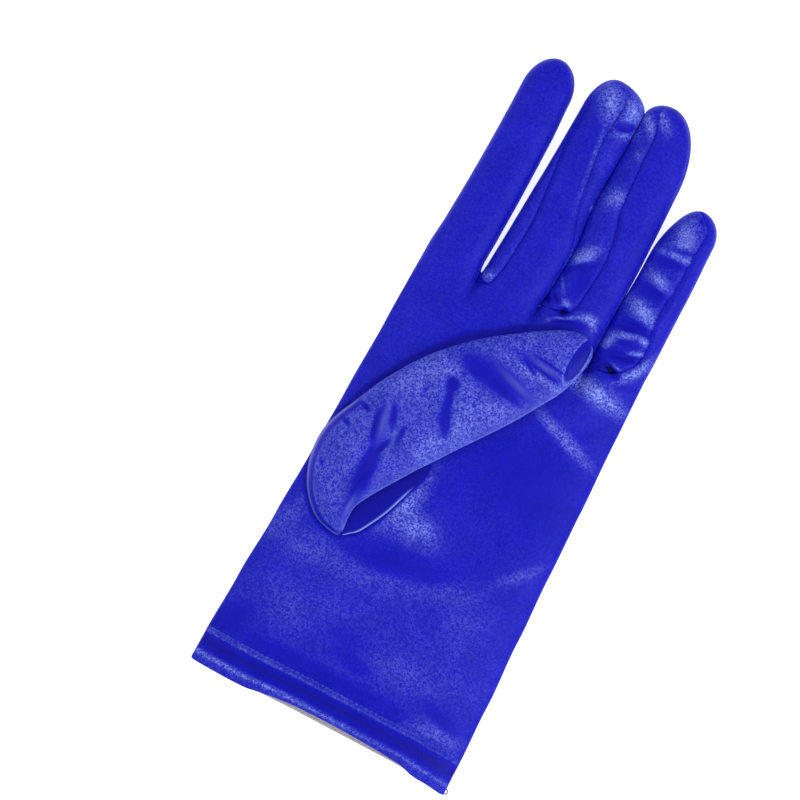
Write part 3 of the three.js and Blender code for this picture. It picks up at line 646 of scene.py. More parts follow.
def make_piece(name, points, polygons, materials, **shades):
    """Mesh object from points in millimetres of the plan, settled and moved onto the frame."""
    shift = np.array([0.0, plan_shift(), 0.0])
    mesh = bpy.data.meshes.new(name)
    mesh.from_pydata(((settle(points) + shift) * MM).tolist(), [], polygons)
    mesh.polygons.foreach_set("use_smooth", [True] * len(mesh.polygons))
    for material in materials:
        mesh.materials.append(material)
    # The shades are the piece's painted light and shade, kept as point attributes for its colour
    for shade, values in shades.items():
        mesh.attributes.new(shade, "FLOAT", "POINT").data.foreach_set("value", values.astype(np.float32))
    mesh.validate()
    mesh.update()
    piece = bpy.data.objects.new(name, mesh)
    bpy.context.scene.collection.objects.link(piece)
    return piece


def line_cloth(piece, thickness):
    """Gives a sheet its thickness inwards, with the wrong side of the cloth as its inner face."""
    wall = piece.modifiers.new("cloth", "SOLIDIFY")
    wall.thickness = thickness
    wall.offset = -1
    wall.use_even_offset = False
    wall.material_offset = 1
    wall.material_offset_rim = 0


# Materials

def new_material(name):
    """Fresh material, its node tree and its shader."""
    material = bpy.data.materials.new(name)
    material.use_nodes = True
    return material, material.node_tree, material.node_tree.nodes["Principled BSDF"]


def feed(tree, socket, value):
    """Links an output to a socket, or sets the socket to a value."""
    if isinstance(value, bpy.types.NodeSocket):
        tree.links.new(value, socket)
    else:
        socket.default_value = value


def add_math(tree, operation, *values, clamp=False):
    """Output of a new math node that takes outputs or numbers."""
    node = tree.nodes.new("ShaderNodeMath")
    node.operation = operation
    node.use_clamp = clamp
    for socket, value in zip(node.inputs, values):
        feed(tree, socket, value)
    return node.outputs[0]


def add_mix(tree, share, first, second, data_type="RGBA"):
    """Output of a new node that mixes two colours, or two numbers where the type is FLOAT."""
    node = tree.nodes.new("ShaderNodeMix")
    node.data_type = data_type
    ends = [socket for socket in node.inputs if socket.enabled]
    for socket, value in zip(ends, (share, first, second)):
        feed(tree, socket, value)
    return next(socket for socket in node.outputs if socket.enabled)


def add_range(tree, value, **ends):
    """Output of a new node that maps one range of numbers to another, each 0 to 1 where not given."""
    node = tree.nodes.new("ShaderNodeMapRange")
    feed(tree, node.inputs["Value"], value)
    for end, number in ends.items():
        node.inputs[end.replace("_", " ").title()].default_value = number
    return node.outputs["Result"]


def add_attribute(tree, name):
    """Output of a new node that reads one of the piece's attributes of painted light and shade."""
    node = tree.nodes.new("ShaderNodeAttribute")
    node.attribute_name = name
    return node.outputs["Fac"]


def add_grain(tree):
    """Outputs of the satin's grain in a material."""
    node = tree.nodes.new("ShaderNodeGroup")
    node.node_tree = grain_group()
    return node.outputs


def add_socket(group, name, way, value=None):
    """Number socket of a node group."""
    socket = group.interface.new_socket(name, in_out=way, socket_type="NodeSocketFloat")
    if value is not None:
        socket.default_value = value
    return socket


def grain_group():
    """Grain of the weave: speckles of the yarn and soft cloudiness over the surface, from object
    coordinates."""
    if "satin_grain" in bpy.data.node_groups:
        return bpy.data.node_groups["satin_grain"]
    group = bpy.data.node_groups.new("satin_grain", "ShaderNodeTree")
    add_socket(group, "Grain Size", "INPUT", 2200.0)
    add_socket(group, "Cloud Size", "INPUT", 110.0)
    for name in ("Height", "Speckle", "Cloud"):
        add_socket(group, name, "OUTPUT")
    nodes, links = group.nodes, group.links
    entry, out = nodes.new("NodeGroupInput"), nodes.new("NodeGroupOutput")
    place = nodes.new("ShaderNodeTexCoord")
    cells = nodes.new("ShaderNodeTexVoronoi")
    split = nodes.new("ShaderNodeSeparateColor")
    links.new(place.outputs["Object"], cells.inputs["Vector"])
    links.new(entry.outputs["Grain Size"], cells.inputs["Scale"])
    links.new(cells.outputs["Color"], split.inputs[0])
    links.new(add_range(group, split.outputs["Red"], from_min=0.2), out.inputs["Speckle"])
    links.new(cells.outputs["Distance"], out.inputs["Height"])
    noise = nodes.new("ShaderNodeTexNoise")
    noise.inputs["Detail"].default_value = 3.0
    noise.inputs["Roughness"].default_value = 0.7
    links.new(place.outputs["Object"], noise.inputs["Vector"])
    links.new(entry.outputs["Cloud Size"], noise.inputs["Scale"])
    links.new(add_range(group, noise.outputs["Fac"], from_min=0.3, from_max=0.7), out.inputs["Cloud"])
    return group


# How the painted sheen and shade go into the satin's colour: the range that clouds scale the painted sheen
# by, the least of it, the share of it painted as an even haze, the share of it below 0 painted as a fold's
# shade, and how light the painted smooth highlight bands are
PATCHES = (0.5, 1.3)
LEAST_PAINTED_SHEEN = 0.03
PAINTED_HAZE = 0.12
FOLD_SHADE = 0.35
PAINTED_HIGHLIGHT_TONE = 0.85


def satin_material():
    """Right side of the satin: deep blue and clouded, with painted speckled highlights where the painted
    sheen is high, painted smooth highlight bands and painted shade in the folds.
    """
    if "satin_face" in bpy.data.materials:
        return bpy.data.materials["satin_face"]
    settings = bpy.context.scene.glove_cloth
    material, tree, shader = new_material("satin_face")
    grain, lustre = add_grain(tree), add_attribute(tree, "lustre")
    patchy = add_range(tree, grain["Cloud"], to_min=PATCHES[0], to_max=PATCHES[1])
    # Painted sheen: speckled highlights where the painted sheen is high, and an even painted haze
    sheen = add_math(tree, "MAXIMUM", add_math(tree, "MULTIPLY", lustre, patchy), LEAST_PAINTED_SHEEN)
    painted_glints = add_math(tree, "MULTIPLY", grain["Speckle"], sheen, clamp=True)
    painted_haze = add_math(tree, "MULTIPLY_ADD", lustre, PAINTED_HAZE, painted_glints, clamp=True)
    lit = add_mix(tree, add_attribute(tree, "glow"), painted_haze, PAINTED_HIGHLIGHT_TONE, "FLOAT")
    ground = add_mix(tree, grain["Cloud"], (*settings.dark, 1), (*settings.mid, 1))
    # Painted shade: below 0 the painted light and shade darkens the colour towards the fold colour
    fold = add_math(tree, "MULTIPLY", lustre, -FOLD_SHADE, clamp=True)
    shaded = add_mix(tree, fold, ground, (*settings.shade, 1))
    feed(tree, shader.inputs["Base Color"], add_mix(tree, lit, shaded, (*settings.light, 1)))
    rough = add_range(tree, grain["Cloud"], to_min=settings.roughness + 0.06,
                      to_max=settings.roughness - 0.06)
    feed(tree, shader.inputs["Roughness"], rough)
    bump = tree.nodes.new("ShaderNodeBump")
    bump.inputs["Strength"].default_value = 0.35
    bump.inputs["Distance"].default_value = 0.0002
    feed(tree, bump.inputs["Height"], grain["Height"])
    feed(tree, shader.inputs["Normal"], bump.outputs["Normal"])
    shader.inputs["Specular IOR Level"].default_value = 0.09
    shader.inputs["Sheen Weight"].default_value = 0.02
    shader.inputs["Sheen Roughness"].default_value = 0.4
    shader.inputs["Sheen Tint"].default_value = (0.25, 0.3, 1, 1)
    return material


def wrong_side_material():
    """Wrong side of the satin: pale matt grey with a fine knitted speckle."""
    if "satin_wrong_side" in bpy.data.materials:
        return bpy.data.materials["satin_wrong_side"]
    material, tree, shader = new_material("satin_wrong_side")
    speckled = add_mix(tree, add_grain(tree)["Speckle"], (0.37, 0.35, 0.38, 1), (0.52, 0.49, 0.53, 1))
    feed(tree, shader.inputs["Base Color"], speckled)
    shader.inputs["Roughness"].default_value = 0.8
    return material


def thread_material():
    """Sewing thread: a little lighter than the cloth, clouded along its twist."""
    if "thread" in bpy.data.materials:
        return bpy.data.materials["thread"]
    material, tree, shader = new_material("thread")
    shader.inputs["Roughness"].default_value = 0.5
    place = tree.nodes.new("ShaderNodeTexCoord")
    twist = tree.nodes.new("ShaderNodeTexNoise")
    twist.inputs["Scale"].default_value = 3000
    feed(tree, twist.inputs["Vector"], place.outputs["Object"])
    tone = add_mix(tree, twist.outputs["Fac"], (0.012, 0.013, 0.42, 1), (0.035, 0.045, 0.66, 1))
    feed(tree, shader.inputs["Base Color"], tone)
    return material


# Pieces

# Share of the seam's relief along the thumb's oval hole, and the oval's level where the palm is cut away
OVAL_GROOVE = 0.8
HOLE_LEVEL = 0.94


def seam_oval(points_x, points_y):
    """Level of a point against the thumb's seam, an ellipse: 1 on it, less inside; and its rough distance
    in millimetres."""
    along, aside = heading(THUMB_SEAM_TURN), heading(THUMB_SEAM_TURN + 90)
    dx = points_x + palm_half(np.float64(THUMB_SEAM_UP)) - THUMB_SEAM_IN - THUMB_SEAM_WIDTH / 2
    dy = points_y - THUMB_SEAM_UP
    u = (dx * aside[0] + dy * aside[1]) / (THUMB_SEAM_WIDTH / 2)
    w = (dx * along[0] + dy * along[1]) / (THUMB_SEAM_LENGTH / 2)
    level = np.sqrt(u * u + w * w)
    return level, (level - 1) * THUMB_SEAM_WIDTH / 2


def thumb_outline(points):
    """Distance of points in the plan from the thumb's seam line."""
    sewn = THUMB_RIBS[THUMB_RIBS[:, 6] > 0.5]
    line = np.concatenate([sewn[::-1, 0:2], sewn[:, 4:6]])
    at = np.linspace(0, len(line) - 1, 161)
    curve = np.stack([natural_curve(line[:, k], at) for k in (0, 1)], -1)
    start, step = curve[:-1], np.diff(curve, axis=0)
    offset = points[:, None, :2] - start
    share = np.clip((offset * step).sum(axis=2) / (step * step).sum(axis=1), 0, 1)
    return np.linalg.norm(offset - share[..., None] * step, axis=2).min(axis=1)


def build_trank():
    """The trank: palm and back in one sheet with the fingers' fronts and backs, and with the hole under
    the thumb cut out of it."""
    grids = []
    for finger in range(4):
        ys = np.concatenate([PALM_STATIONS[:-1], finger_rows(finger)])
        front = hand_patch(finger, True, ys)
        x, y, z = np.moveaxis(front, -1, 0)
        _, distance = seam_oval(x, y)
        z += OVAL_GROOVE * seam_relief(distance) + hem_relief(y) * crown(x / palm_half(y))
        grids += [front, hand_patch(finger, False, ys)[:, ::-1]]
    points, faces = join_grids(grids)
    x, y, z = points[faces].mean(axis=1).T
    level, _ = seam_oval(x, y)
    points, polygons, _ = weld(points, faces[(level >= HOLE_LEVEL) | (z <= PALM_EDGE)])
    return points, polygons


# Patches of a side strip: whether on the second of its fingers, whether facing up, and points across
STRIP_PATCHES = ((False, True, 7), (False, False, 6), (True, True, 30), (True, False, 6))


def build_strip(pair):
    """One side strip: over the side of a finger, round the slit and up the side of the next."""
    return weld(*join_grids([strip_patch(pair, *patch) for patch in STRIP_PATCHES]))[:2]


# Points along the thumb, across its upper layer and across its under layer
THUMB_RINGS, THUMB_ACROSS, THUMB_UNDER = 180, 78, 40

# Section of the upper layer: the power of its crown, and how it rounds by the seam and by the fold
ARCH_POWER, ARCH_SEAM, ARCH_FOLD = 3.2, 0.62, 0.8

# Lens-shaped hollow by the thumb's tip: place, half length, half width and turn; then its rim and its
# hollow, in shape and as painted highlight and painted shade, by level (1 on the lens): level, half width
# or fall, rise or depth
TIP_LENS = (19.1, 144.0, 7.6, 2.2, 4.0)
LENS_RIM, LENS_HOLLOW = (1.22, 0.13, 0.35), (1.12, 0.35, 1.2)
LENS_RIM_PAINTED_LIGHT, LENS_HOLLOW_PAINTED_SHADE = (1.16, 0.09, 0.25), (1.1, 0.3, 0.9)

# Width over which folds and the lens fade at the layer's edges
FOLD_FADE, LENS_FADE = 3, 1.2

# Smooth painted highlight along the upper layer's edges: place, half width, strength by the seam; half
# width and strength by the fold, twice
SEAM_PAINTED_HIGHLIGHT = (0.45, 0.4, 0.35)
FOLD_PAINTED_HIGHLIGHTS = ((0.35, 0.35), (2.2, 0.12))

# Band of painted shade on the upper layer along its seam: where it ends, over what width, and its shade
BAND_END, BAND_FADE, BAND_SHADE = 1.2, 1.6, 0.5

# Under layer: how far it tucks in under the fold, its height over the palm, how deep its end sinks into the
# palm, and its painted shade; then the painted highlight along its end: place, half width, strength, and
# from where up the thumb it fades over what length
UNDER_TUCK = 2.6
UNDER_REST, UNDER_SUNK = 0.35, 0.25
UNDER_PAINTED_SHADE = -0.8
UNDER_PAINTED_HIGHLIGHT = (0.25, 0.35, 1.1)
UNDER_PAINTED_HIGHLIGHT_END = (78, 6)


def thumb_upper(start, fold, sewn, start_rise, fold_rise, crowned):
    """Upper layer of the thumb, with its painted sheen and shade and its painted highlight bands. Each rib
    runs from its start, q = 0, to the lower fold, q = 1. Its height is the palm's, its ends' rise eased
    between them, and crown · (1 - |2q - 1|^power)^round."""
    q = (1 - np.cos(np.linspace(0, HALF_TURN, THUMB_ACROSS)))[None, :] / 2
    x, y = np.moveaxis(start + (fold - start) * q[..., None], -1, 0)
    width = np.linalg.norm(fold - start, axis=2)
    from_start, from_fold = q * width, (1 - q) * width
    crest = np.clip(1 - np.abs(2 * q - 1) ** ARCH_POWER, 0, 1) ** np.where(q < 0.5, ARCH_SEAM, ARCH_FOLD)
    z = palm_top(x, y) + start_rise + (fold_rise - start_rise) * smooth(q) + crest * crowned
    z = z + lift(THUMB_FOLDS, x, y) * np.minimum(1, np.minimum(from_start, from_fold) / FOLD_FADE)
    lens_x, lens_y, long, half, turn = TIP_LENS
    line = heading(turn)
    lens = np.hypot(((x - lens_x) * line[0] + (y - lens_y) * line[1]) / long,
                    ((x - lens_x) * line[1] - (y - lens_y) * line[0]) / half)

    def rim(at, spread, rise):
        return rise * bell(lens, at, spread)

    def hollow(at, fall, depth):
        return depth * smooth((at - lens) / fall)

    z = z + smooth(from_fold / LENS_FADE) * (rim(*LENS_RIM) - hollow(*LENS_HOLLOW))
    # Painted highlight by the seam, from the table and by the fold; a band of painted shade along the seam
    place, spread, strength = SEAM_PAINTED_HIGHLIGHT
    glow = (strength * bell(from_start, place, spread) * sewn + lift(THUMB_PAINTED_HIGHLIGHTS, x, y)
            + sum(light * bell(from_fold, 0, fade) for fade, light in FOLD_PAINTED_HIGHLIGHTS))
    band = 1 - sewn * (1 - smooth((from_start - BAND_END) / BAND_FADE))
    painted_spots = THUMB_BASE + lift(THUMB_PAINTED_LIGHT_SHADE, x, y) + rim(*LENS_RIM_PAINTED_LIGHT) - hollow(*LENS_HOLLOW_PAINTED_SHADE)
    lustre = np.where(painted_spots > 0, np.minimum(painted_spots, 1) * band, painted_spots) - BAND_SHADE * (1 - band)
    return np.stack([x, y, z], -1), lustre, glow


def thumb_under(start, fold, end, sewn, start_rise, fold_rise):
    """Under layer of the thumb: each rib tucks in under the fold, comes down to the palm and runs to its
    end, which sinks into the palm where it is sewn and else rises to the start again; with its painted
    shade and the painted highlight along its end."""
    width = np.linalg.norm(fold - start, axis=2)
    k = np.linspace(0, 1, THUMB_UNDER)[None, 1:]
    tuck = np.minimum(UNDER_TUCK, width * 0.3) * np.sin(np.clip(k * 4, 0, 1) * HALF_TURN / 2)
    inward = (start - fold) / np.maximum(width[..., None], 1e-6)
    plan = (fold + inward * (tuck * (1 - smooth(k * 1.1 - 0.1)))[..., None]
            + (end - fold) * smooth(k)[..., None])
    x, y = np.moveaxis(plan, -1, 0)
    fallen = smooth(k * 4.5)
    rest = np.minimum(UNDER_REST, fold_rise)
    z = (palm_top(x, y) + fold_rise * (1 - fallen) + rest * fallen
         + (start_rise - rest) * smooth((k - 0.82) / 0.18) * (1 - sewn)
         - (rest + UNDER_SUNK) * smooth((k - 0.9) / 0.1) * sewn)
    place, spread, strength = UNDER_PAINTED_HIGHLIGHT
    glow_end, glow_fade = UNDER_PAINTED_HIGHLIGHT_END
    glow = (strength * bell(np.linalg.norm(end - plan, axis=2), place, spread) * sewn
            * (1 - smooth((y - glow_end) / glow_fade)))
    return np.stack([x, y, z], -1), np.full(x.shape, UNDER_PAINTED_SHADE), glow


def thumb_grid():
    """Points, painted light and shade, and painted highlight of the thumb, a row for each rib: its upper
    layer, then its under layer. The ribs lie on smooth curves through the table's."""
    ribs = np.stack([natural_curve(THUMB_RIBS[:, k], np.linspace(0, len(THUMB_RIBS) - 1, THUMB_RINGS))
                     for k in range(THUMB_RIBS.shape[1])], -1)
    start, fold = ribs[:, None, 0:2], ribs[:, None, 2:4]
    sewn = smooth(ribs[:, 6:7])
    end = start + (ribs[:, None, 4:6] - start) * sewn[..., None]
    start_rise, fold_rise, crowned = ribs[:, 7:10].T[..., None]
    upper = thumb_upper(start, fold, sewn, start_rise, fold_rise, crowned)
    under = thumb_under(start, fold, end, sewn, start_rise, fold_rise)
    return [np.concatenate(pair, axis=1) for pair in zip(upper, under)]


def build_thumb():
    """The thumb: its ribs joined into a tube, closed at the tip and open at its seam."""
    grid, lustre, glow = thumb_grid()
    faces = grid_faces(grid.shape[:2])
    tip = grid[-1].mean(axis=0)
    points = np.concatenate([grid.reshape(-1, 3), tip[None]])
    lustre, glow = np.append(lustre.reshape(-1), 0), np.append(glow.reshape(-1), 0)
    last = (grid.shape[0] - 1) * grid.shape[1]
    j = np.arange(grid.shape[1] - 1)
    middle = np.full(len(j), len(points) - 1)
    close = np.stack([last + j, last + j + 1, middle, middle], -1)
    points, polygons, kept = weld(points, np.concatenate([faces, close]))
    return points, polygons, np.clip(lustre[kept], *PAINTED_LIGHT_SHADE_ENDS), np.clip(glow[kept], 0, 1)


# The hem: the distance between its layers and the radius of its roll at the cuff's edge; then how far its
# front is short of its back, round which place across and over what half width
HEM_CLOTH = 1.3
HEM_ROLL = 0.65
HEM_SHORT = 1.7
HEM_SHORT_AT = 3.5
HEM_SHORT_HALF = 29.0

# Painted sheen and shade across the hem: place, half width and strength of its rows of painted highlight,
# which fade from where towards the little-finger side, over what width and by what share; then its row of
# painted shade, and the painted sheen between
HEM_PAINTED_HIGHLIGHTS = [(12.3, 0.45, 0.4), (10.7, 0.5, 0.4), (3.3, 0.8, 0.6)]
HEM_FADE = (-15, 45, 0.55)
HEM_PAINTED_SHADE = (7.4, 1.9, -1.1)
HEM_BASE = 0.1


def build_hem():
    """The hem: a doubled band round the cuff. Its profile runs up the outside, rolls over at the
    cuff's edge and runs back inside; it is carried round the section of the wrist."""
    front = -np.cos(np.linspace(0, HALF_TURN, 105))
    v = np.concatenate([front, np.cos(np.linspace(0, HALF_TURN, 61))[1:-1]])
    upper = np.arange(len(v)) < len(front)
    across = (v * CUFF_WIDTH / 2 - HEM_SHORT_AT) / HEM_SHORT_HALF
    short = np.where(upper, HEM_SHORT * np.clip(1 - across ** 2, 0, 1) ** 0.9, 0)
    outer = np.linspace(HEM_DEPTH + 0.1, HEM_ROLL, 34)
    roll = np.linspace(0, HALF_TURN, 9)[1:-1]
    inner = np.linspace(HEM_ROLL, HEM_DEPTH - 0.6, 12)
    run = np.concatenate([outer, HEM_ROLL * (1 - np.sin(roll)), inner])[:, None]
    depth = np.concatenate([np.zeros(len(outer)), (1 - np.cos(roll)) / 2, np.ones(len(inner))])[:, None]
    y = run + short * np.clip(1 - run / HEM_DEPTH, 0, 1)
    x = v * palm_half(y)
    inward = depth * HEM_CLOTH
    above = palm_top(x, y) + (hem_relief(y) * (depth == 0) - inward) * crown(v)
    below = PALM_EDGE * curl(v) + inward * (1 - curl(v))
    x = x - np.sign(v) * inward * np.abs(v) ** 12
    points = np.stack([x, y, np.where(upper, above, below)], -1)
    faces = grid_faces(x.shape, wrap=True)[:, ::-1]
    inside = faces.min(axis=1) // x.shape[1] >= len(outer) + len(roll) // 2
    return points.reshape(-1, 3), faces.tolist(), inside


def hem_lustre(points):
    """Painted sheen and shade of the hem: its rows of painted highlight, fading towards the little-finger
    side, its row of painted shade and its painted shade at the edges."""
    x, y, z = points.T
    start, over, share = HEM_FADE
    fade = 1 - share * smooth((x - start) / over)
    light = sum(strength * bell(y, place, half) for place, half, strength in HEM_PAINTED_HIGHLIGHTS) * fade
    place, half, strength = HEM_PAINTED_SHADE
    return np.clip(light + strength * bell(y, place, half) + HEM_BASE + edge_shade(z), *PAINTED_LIGHT_SHADE_ENDS)


# Loop of thread at the hem's corner: its middle, height, radius and the thread's half thickness
LOOP = (46.25, 1.4, 2.6, 0.75, 0.2)


def thread_loop():
    """Small loop of the hem's thread at its corner: a ring, a round section turned about an upright
    axis."""
    around = (np.arange(28) * 2 * HALF_TURN / 28)[:, None]
    section = np.arange(8) * 2 * HALF_TURN / 8
    middle_x, middle_y, height, radius, thick = LOOP
    reach = radius + thick * np.cos(section)
    return np.stack([middle_x + reach * np.cos(around), middle_y + reach * np.sin(around),
                     height + thick * np.sin(section) + 0 * around], -1)


# Rows of stitches: place up the glove and where each starts along its row; then how far across they
# reach, their step, length and half thickness, how much wider they are than high on the cloth, how far
# the front ones stand off it, how flat the back ones are, and the points along and round each
STITCH_ROWS = ((12.3, 0.0), (10.7, 0.9))
STITCH_REACH = 44.0
STITCH_STEP = 1.8
STITCH_LENGTH, STITCH_HALF = 1.15, 0.16
STITCH_SPREAD, STITCH_STAND, STITCH_FLAT = 1.3, 0.05, 0.7
STITCH_SECTIONS, STITCH_SIDES = 5, 6


def stitch_row(row_y, start, upper):
    """One row of stitches: each a spindle along the row, its half thickness following sqrt(1 - u²)."""
    u = np.linspace(-1, 1, STITCH_SECTIONS)[:, None]
    turn = np.arange(STITCH_SIDES) * 2 * HALF_TURN / STITCH_SIDES
    body = STITCH_HALF * np.sqrt(np.clip(1 - u ** 2, 0.04, 1))
    middles = np.arange(start - STITCH_REACH, STITCH_REACH, STITCH_STEP)[:, None, None]
    x = middles + u * STITCH_LENGTH / 2 + 0 * turn
    y = row_y + STITCH_SPREAD * body * np.cos(turn) + 0 * x
    v, rise = x / palm_half(y), body * np.sin(turn)
    if upper:
        z = palm_top(x, y) + hem_relief(y) * crown(v) + rise + STITCH_STAND
    else:
        z = PALM_EDGE * curl(v) + rise * STITCH_FLAT
    return np.stack([x, y, z], -1).reshape(-1, 3)


def build_stitches():
    """Two rows of stitches round the hem, on its front and its back, and the thread's loop."""
    rows = [stitch_row(row_y, start, upper) for row_y, start in STITCH_ROWS for upper in (True, False)]
    points = np.concatenate(rows)
    size = STITCH_SECTIONS * STITCH_SIDES
    starts = np.arange(0, len(points), size)[:, None, None]
    sides = starts + grid_faces((STITCH_SECTIONS, STITCH_SIDES), wrap=True)[:, ::-1]
    ends = starts + np.stack([np.arange(STITCH_SIDES), size - 1 - np.arange(STITCH_SIDES)])
    loop = thread_loop()
    ring = grid_faces(loop.shape[:2], len(points), wrap=True, ring=True)[:, ::-1]
    faces = [*sides.reshape(-1, 4).tolist(), *ends.reshape(-1, STITCH_SIDES).tolist(), *ring.tolist()]
    return np.concatenate([points, loop.reshape(-1, 3)]), faces


# The add-on

class ClothSettings(bpy.types.PropertyGroup):
    """Sizes and colours of the cloth."""

    thickness: FloatProperty(
        name="Cloth thickness", description="Thickness of one layer of satin",
        default=0.0005, min=0.0002, max=0.002, subtype="DISTANCE", unit="LENGTH")
    dark: FloatVectorProperty(
        name="Deep colour", description="Colour of the satin between its clouds",
        default=(0.0045, 0.0045, 0.44), size=3, min=0, max=1, subtype="COLOR")
    mid: FloatVectorProperty(
        name="Middle colour", description="Colour of the satin where it is clouded",
        default=(0.0065, 0.007, 0.53), size=3, min=0, max=1, subtype="COLOR")
    # Colour of the painted highlights: the painted speckled glints and the smooth highlight bands
    light: FloatVectorProperty(
        name="Light colour", description="Colour of the satin's speckles",
        default=(0.29, 0.38, 1.0), size=3, min=0, max=1, subtype="COLOR")
    # Colour of the painted shade in the satin's folds
    shade: FloatVectorProperty(
        name="Fold colour", description="Colour of the satin deep in its folds",
        default=(0.0006, 0.0006, 0.02), size=3, min=0, max=1, subtype="COLOR")
    roughness: FloatProperty(
        name="Roughness", description="Roughness of the satin's face", default=0.42, min=0, max=1,
        subtype="FACTOR")


class StageSettings(bpy.types.PropertyGroup):
    """Sizes of the stage."""

    floor: FloatProperty(
        name="Floor size", description="Width of the pale floor", default=6.0, min=1, max=20,
        subtype="DISTANCE", unit="LENGTH")
    field: FloatProperty(
        name="Field", description="Width of the picture on the glove", default=0.2596, min=0.1, max=1,
        subtype="DISTANCE", unit="LENGTH")
    turn: FloatProperty(
        name="Picture turn", description="Turn of the picture's upward direction from the fingers",
        default=math.radians(28), subtype="ANGLE", unit="ROTATION")


def finish_piece(piece, slot_name, *nodes):
    """Rides the piece on the glove's one body and lets it stand for its frame nodes."""
    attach(piece, "root")
    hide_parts(*nodes)


# How deep and over what half width the trank sinks along the thumb's seam
THUMB_DENT, THUMB_DENT_HALF = 0.3, 0.6

# Thickness of the hem's cloth in metres
HEM_LAYER = 0.0004


class GLOVE_OT_trank(bpy.types.Operator):
    """Build the trank, the glove's main sheet"""

    bl_idname = "glove.trank"
    bl_label = "Trank"

    def execute(self, context):
        points, polygons = build_trank()
        above = points[:, 2] > PALM_EDGE
        seam = bell(thumb_outline(points), 0, THUMB_DENT_HALF)
        points[:, 2] -= THUMB_DENT * seam * above
        # Painted sheen and shade: the table's on the front, with painted shade at the edges and along the
        # thumb's seam; even on the back
        front = lustre_at(HAND_PAINTED_LIGHT_SHADE, HAND_BASE, points) + edge_shade(points[:, 2]) - seam
        piece = make_piece("trank_cloth", points, polygons, [satin_material(), wrong_side_material()],
                           lustre=np.where(above, front, BACK_BASE))
        line_cloth(piece, context.scene.glove_cloth.thickness)
        finish_piece(piece, "satin", "trank")
        return {"FINISHED"}


class GLOVE_OT_strips(bpy.types.Operator):
    """Build the three side strips between the fingers"""

    bl_idname = "glove.strips"
    bl_label = "Side strips"

    def execute(self, context):
        names = ("index_middle", "middle_ring", "ring_little")
        flats = ((0.011, 0.150), (0.015, 0.152), (0.017, 0.135))
        for pair, (name, flat) in enumerate(zip(names, flats)):
            points, polygons = build_strip(pair)
            # Painted sheen and shade from the table, and a smooth painted highlight where the painted sheen
            # is high
            lustre = lustre_at(STRIP_PAINTED_LIGHT_SHADE, STRIP_BASE, points)
            glow = STRIP_PAINTED_HIGHLIGHT * smooth((lustre - STRIP_PAINTED_HIGHLIGHT_FROM) / (1 - STRIP_PAINTED_HIGHLIGHT_FROM))
            piece = make_piece(f"strip_{name}", points, polygons, [satin_material(), wrong_side_material()],
                               lustre=lustre, glow=glow)
            line_cloth(piece, context.scene.glove_cloth.thickness)
            finish_piece(piece, "satin", f"fourchette_{name}")
        return {"FINISHED"}


class GLOVE_OT_thumb(bpy.types.Operator):
    """Build the set-in thumb, lying folded across the palm"""

    bl_idname = "glove.thumb"
    bl_label = "Thumb"

    def execute(self, context):
        points, polygons, lustre, glow = build_thumb()
        # The thumb's painted sheen and shade and its painted highlight bands, kept as attributes for its
        # colour
        piece = make_piece("thumb_cloth", points, polygons, [satin_material()], lustre=lustre, glow=glow)
        line_cloth(piece, context.scene.glove_cloth.thickness)
        finish_piece(piece, "satin", "thumb")
        return {"FINISHED"}


class GLOVE_OT_hem(bpy.types.Operator):
    """Build the doubled hem round the cuff"""

    bl_idname = "glove.hem"
    bl_label = "Hem"

    def execute(self, context):
        points, polygons, inside = build_hem()
        # The hem's painted sheen and shade, kept as an attribute for its colour
        piece = make_piece("hem_band", points, polygons, [satin_material(), wrong_side_material()],
                           lustre=hem_lustre(points))
        piece.data.polygons.foreach_set("material_index", inside.astype(np.int32))
        line_cloth(piece, HEM_LAYER)
        finish_piece(piece, "hem_satin", "cuff_hem")
        return {"FINISHED"}


class GLOVE_OT_stitches(bpy.types.Operator):
    """Build the two rows of stitches of the hem"""

    bl_idname = "glove.stitches"
    bl_label = "Stitches"

    def execute(self, context):
        points, polygons = build_stitches()
        piece = make_piece("hem_stitches", points, polygons, [thread_material()])
        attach(piece, "root")
        return {"FINISHED"}


# Lights: name, place to the right, up the picture and over the floor, width and power; then the
# strength of the world's light and of the floor's own
LIGHTS = (("key", (0.75, -0.55, 1.0), 0.9, 10), ("fill", (-0.9, 0.6, 1.3), 1.4, 6))
WORLD_LIGHT = 0.55
FLOOR_GLOW = 0.75

# The point that the camera looks straight down at in metres, and its lens and sensor in millimetres
CAMERA_AIM = (-0.0254, -0.0098, 0.005)
LENS, SENSOR = 135, 36


def add_light(name, place, width, power):
    """Soft square light at a place, turned to the middle of the stage."""
    data = bpy.data.lights.new(name, "AREA")
    data.size = width
    data.energy = power
    light = bpy.data.objects.new(name, data)
    light.location = place
    light.rotation_euler = (-Vector(place)).to_track_quat("-Z", "Y").to_euler()
    bpy.context.scene.collection.objects.link(light)


def add_floor(width):
    """Pale floor that gives a little light of its own."""
    half = width / 2
    mesh = bpy.data.meshes.new("floor")
    mesh.from_pydata([(-half, -half, 0), (half, -half, 0), (half, half, 0), (-half, half, 0)], [],
                     [(0, 1, 2, 3)])
    material, _, shader = new_material("floor_paper")
    shader.inputs["Base Color"].default_value = (0.85, 0.85, 0.85, 1)
    shader.inputs["Roughness"].default_value = 0.9
    shader.inputs["Emission Color"].default_value = (1, 1, 1, 1)
    shader.inputs["Emission Strength"].default_value = FLOOR_GLOW
    mesh.materials.append(material)
    floor = bpy.data.objects.new("floor", mesh)
    bpy.context.scene.collection.objects.link(floor)


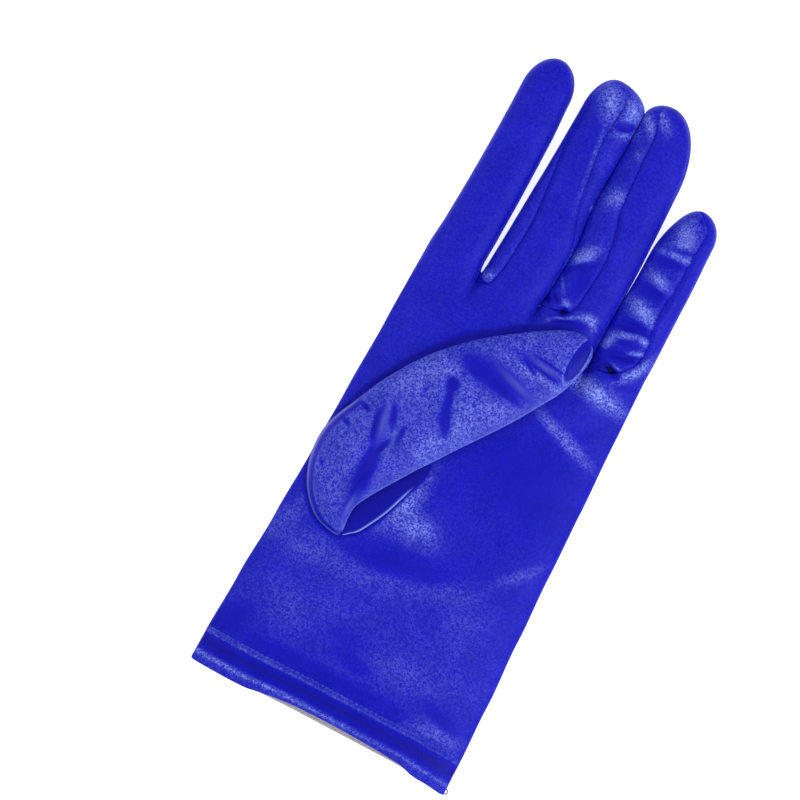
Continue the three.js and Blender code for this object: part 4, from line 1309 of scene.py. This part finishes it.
class GLOVE_OT_stage(bpy.types.Operator):
    """Build the pale floor, the soft lights and the camera"""

    bl_idname = "glove.stage"
    bl_label = "Stage"

    def execute(self, context):
        scene = context.scene
        settings = scene.glove_stage
        add_floor(settings.floor)
        turn = Matrix.Rotation(settings.turn, 3, "Z")
        for name, place, width, power in LIGHTS:
            add_light(name, turn @ Vector(place), width, power)
        world = bpy.data.worlds.new("studio")
        world.use_nodes = True
        background = world.node_tree.nodes["Background"]
        background.inputs["Color"].default_value = (1, 1, 1, 1)
        background.inputs["Strength"].default_value = WORLD_LIGHT
        scene.world = world
        scene.view_settings.view_transform = "Standard"
        camera_data = bpy.data.cameras.new("camera")
        camera_data.lens = LENS
        camera_data.sensor_width = SENSOR
        camera = bpy.data.objects.new("camera", camera_data)
        camera.location = Vector(CAMERA_AIM) + Vector((0, 0, settings.field * LENS / SENSOR))
        camera.rotation_euler = (0, 0, settings.turn)
        scene.collection.objects.link(camera)
        scene.camera = camera
        return {"FINISHED"}


STEPS = (
    GLOVE_OT_trank, GLOVE_OT_strips, GLOVE_OT_thumb, GLOVE_OT_hem, GLOVE_OT_stitches, GLOVE_OT_stage,
)


class GLOVE_PT_panel(bpy.types.Panel):
    """Sizes, colours and build steps of the glove"""

    bl_idname = "GLOVE_PT_panel"
    bl_label = "Dress glove"
    bl_space_type = "VIEW_3D"
    bl_region_type = "UI"
    bl_category = "Glove"

    def draw(self, context):
        for group in (context.scene.glove_cloth, context.scene.glove_stage):
            for name in group.__annotations__:
                self.layout.prop(group, name)
        for step in STEPS:
            self.layout.operator(step.bl_idname)


CLASSES = (ClothSettings, StageSettings, *STEPS, GLOVE_PT_panel)


def register():
    """Registers the classes and hangs the settings on the scene."""
    for cls in CLASSES:
        bpy.utils.register_class(cls)
    bpy.types.Scene.glove_cloth = PointerProperty(type=ClothSettings)
    bpy.types.Scene.glove_stage = PointerProperty(type=StageSettings)


def unregister():
    """Takes away what register made."""
    del bpy.types.Scene.glove_stage
    del bpy.types.Scene.glove_cloth
    for cls in reversed(CLASSES):
        bpy.utils.unregister_class(cls)


def main():
    """Builds the glove and its stage."""
    register()
    bpy.ops.glove.trank()
    bpy.ops.glove.strips()
    bpy.ops.glove.thumb()
    bpy.ops.glove.hem()
    bpy.ops.glove.stitches()
    bpy.ops.glove.stage()


if __name__ == "__main__":
    main()
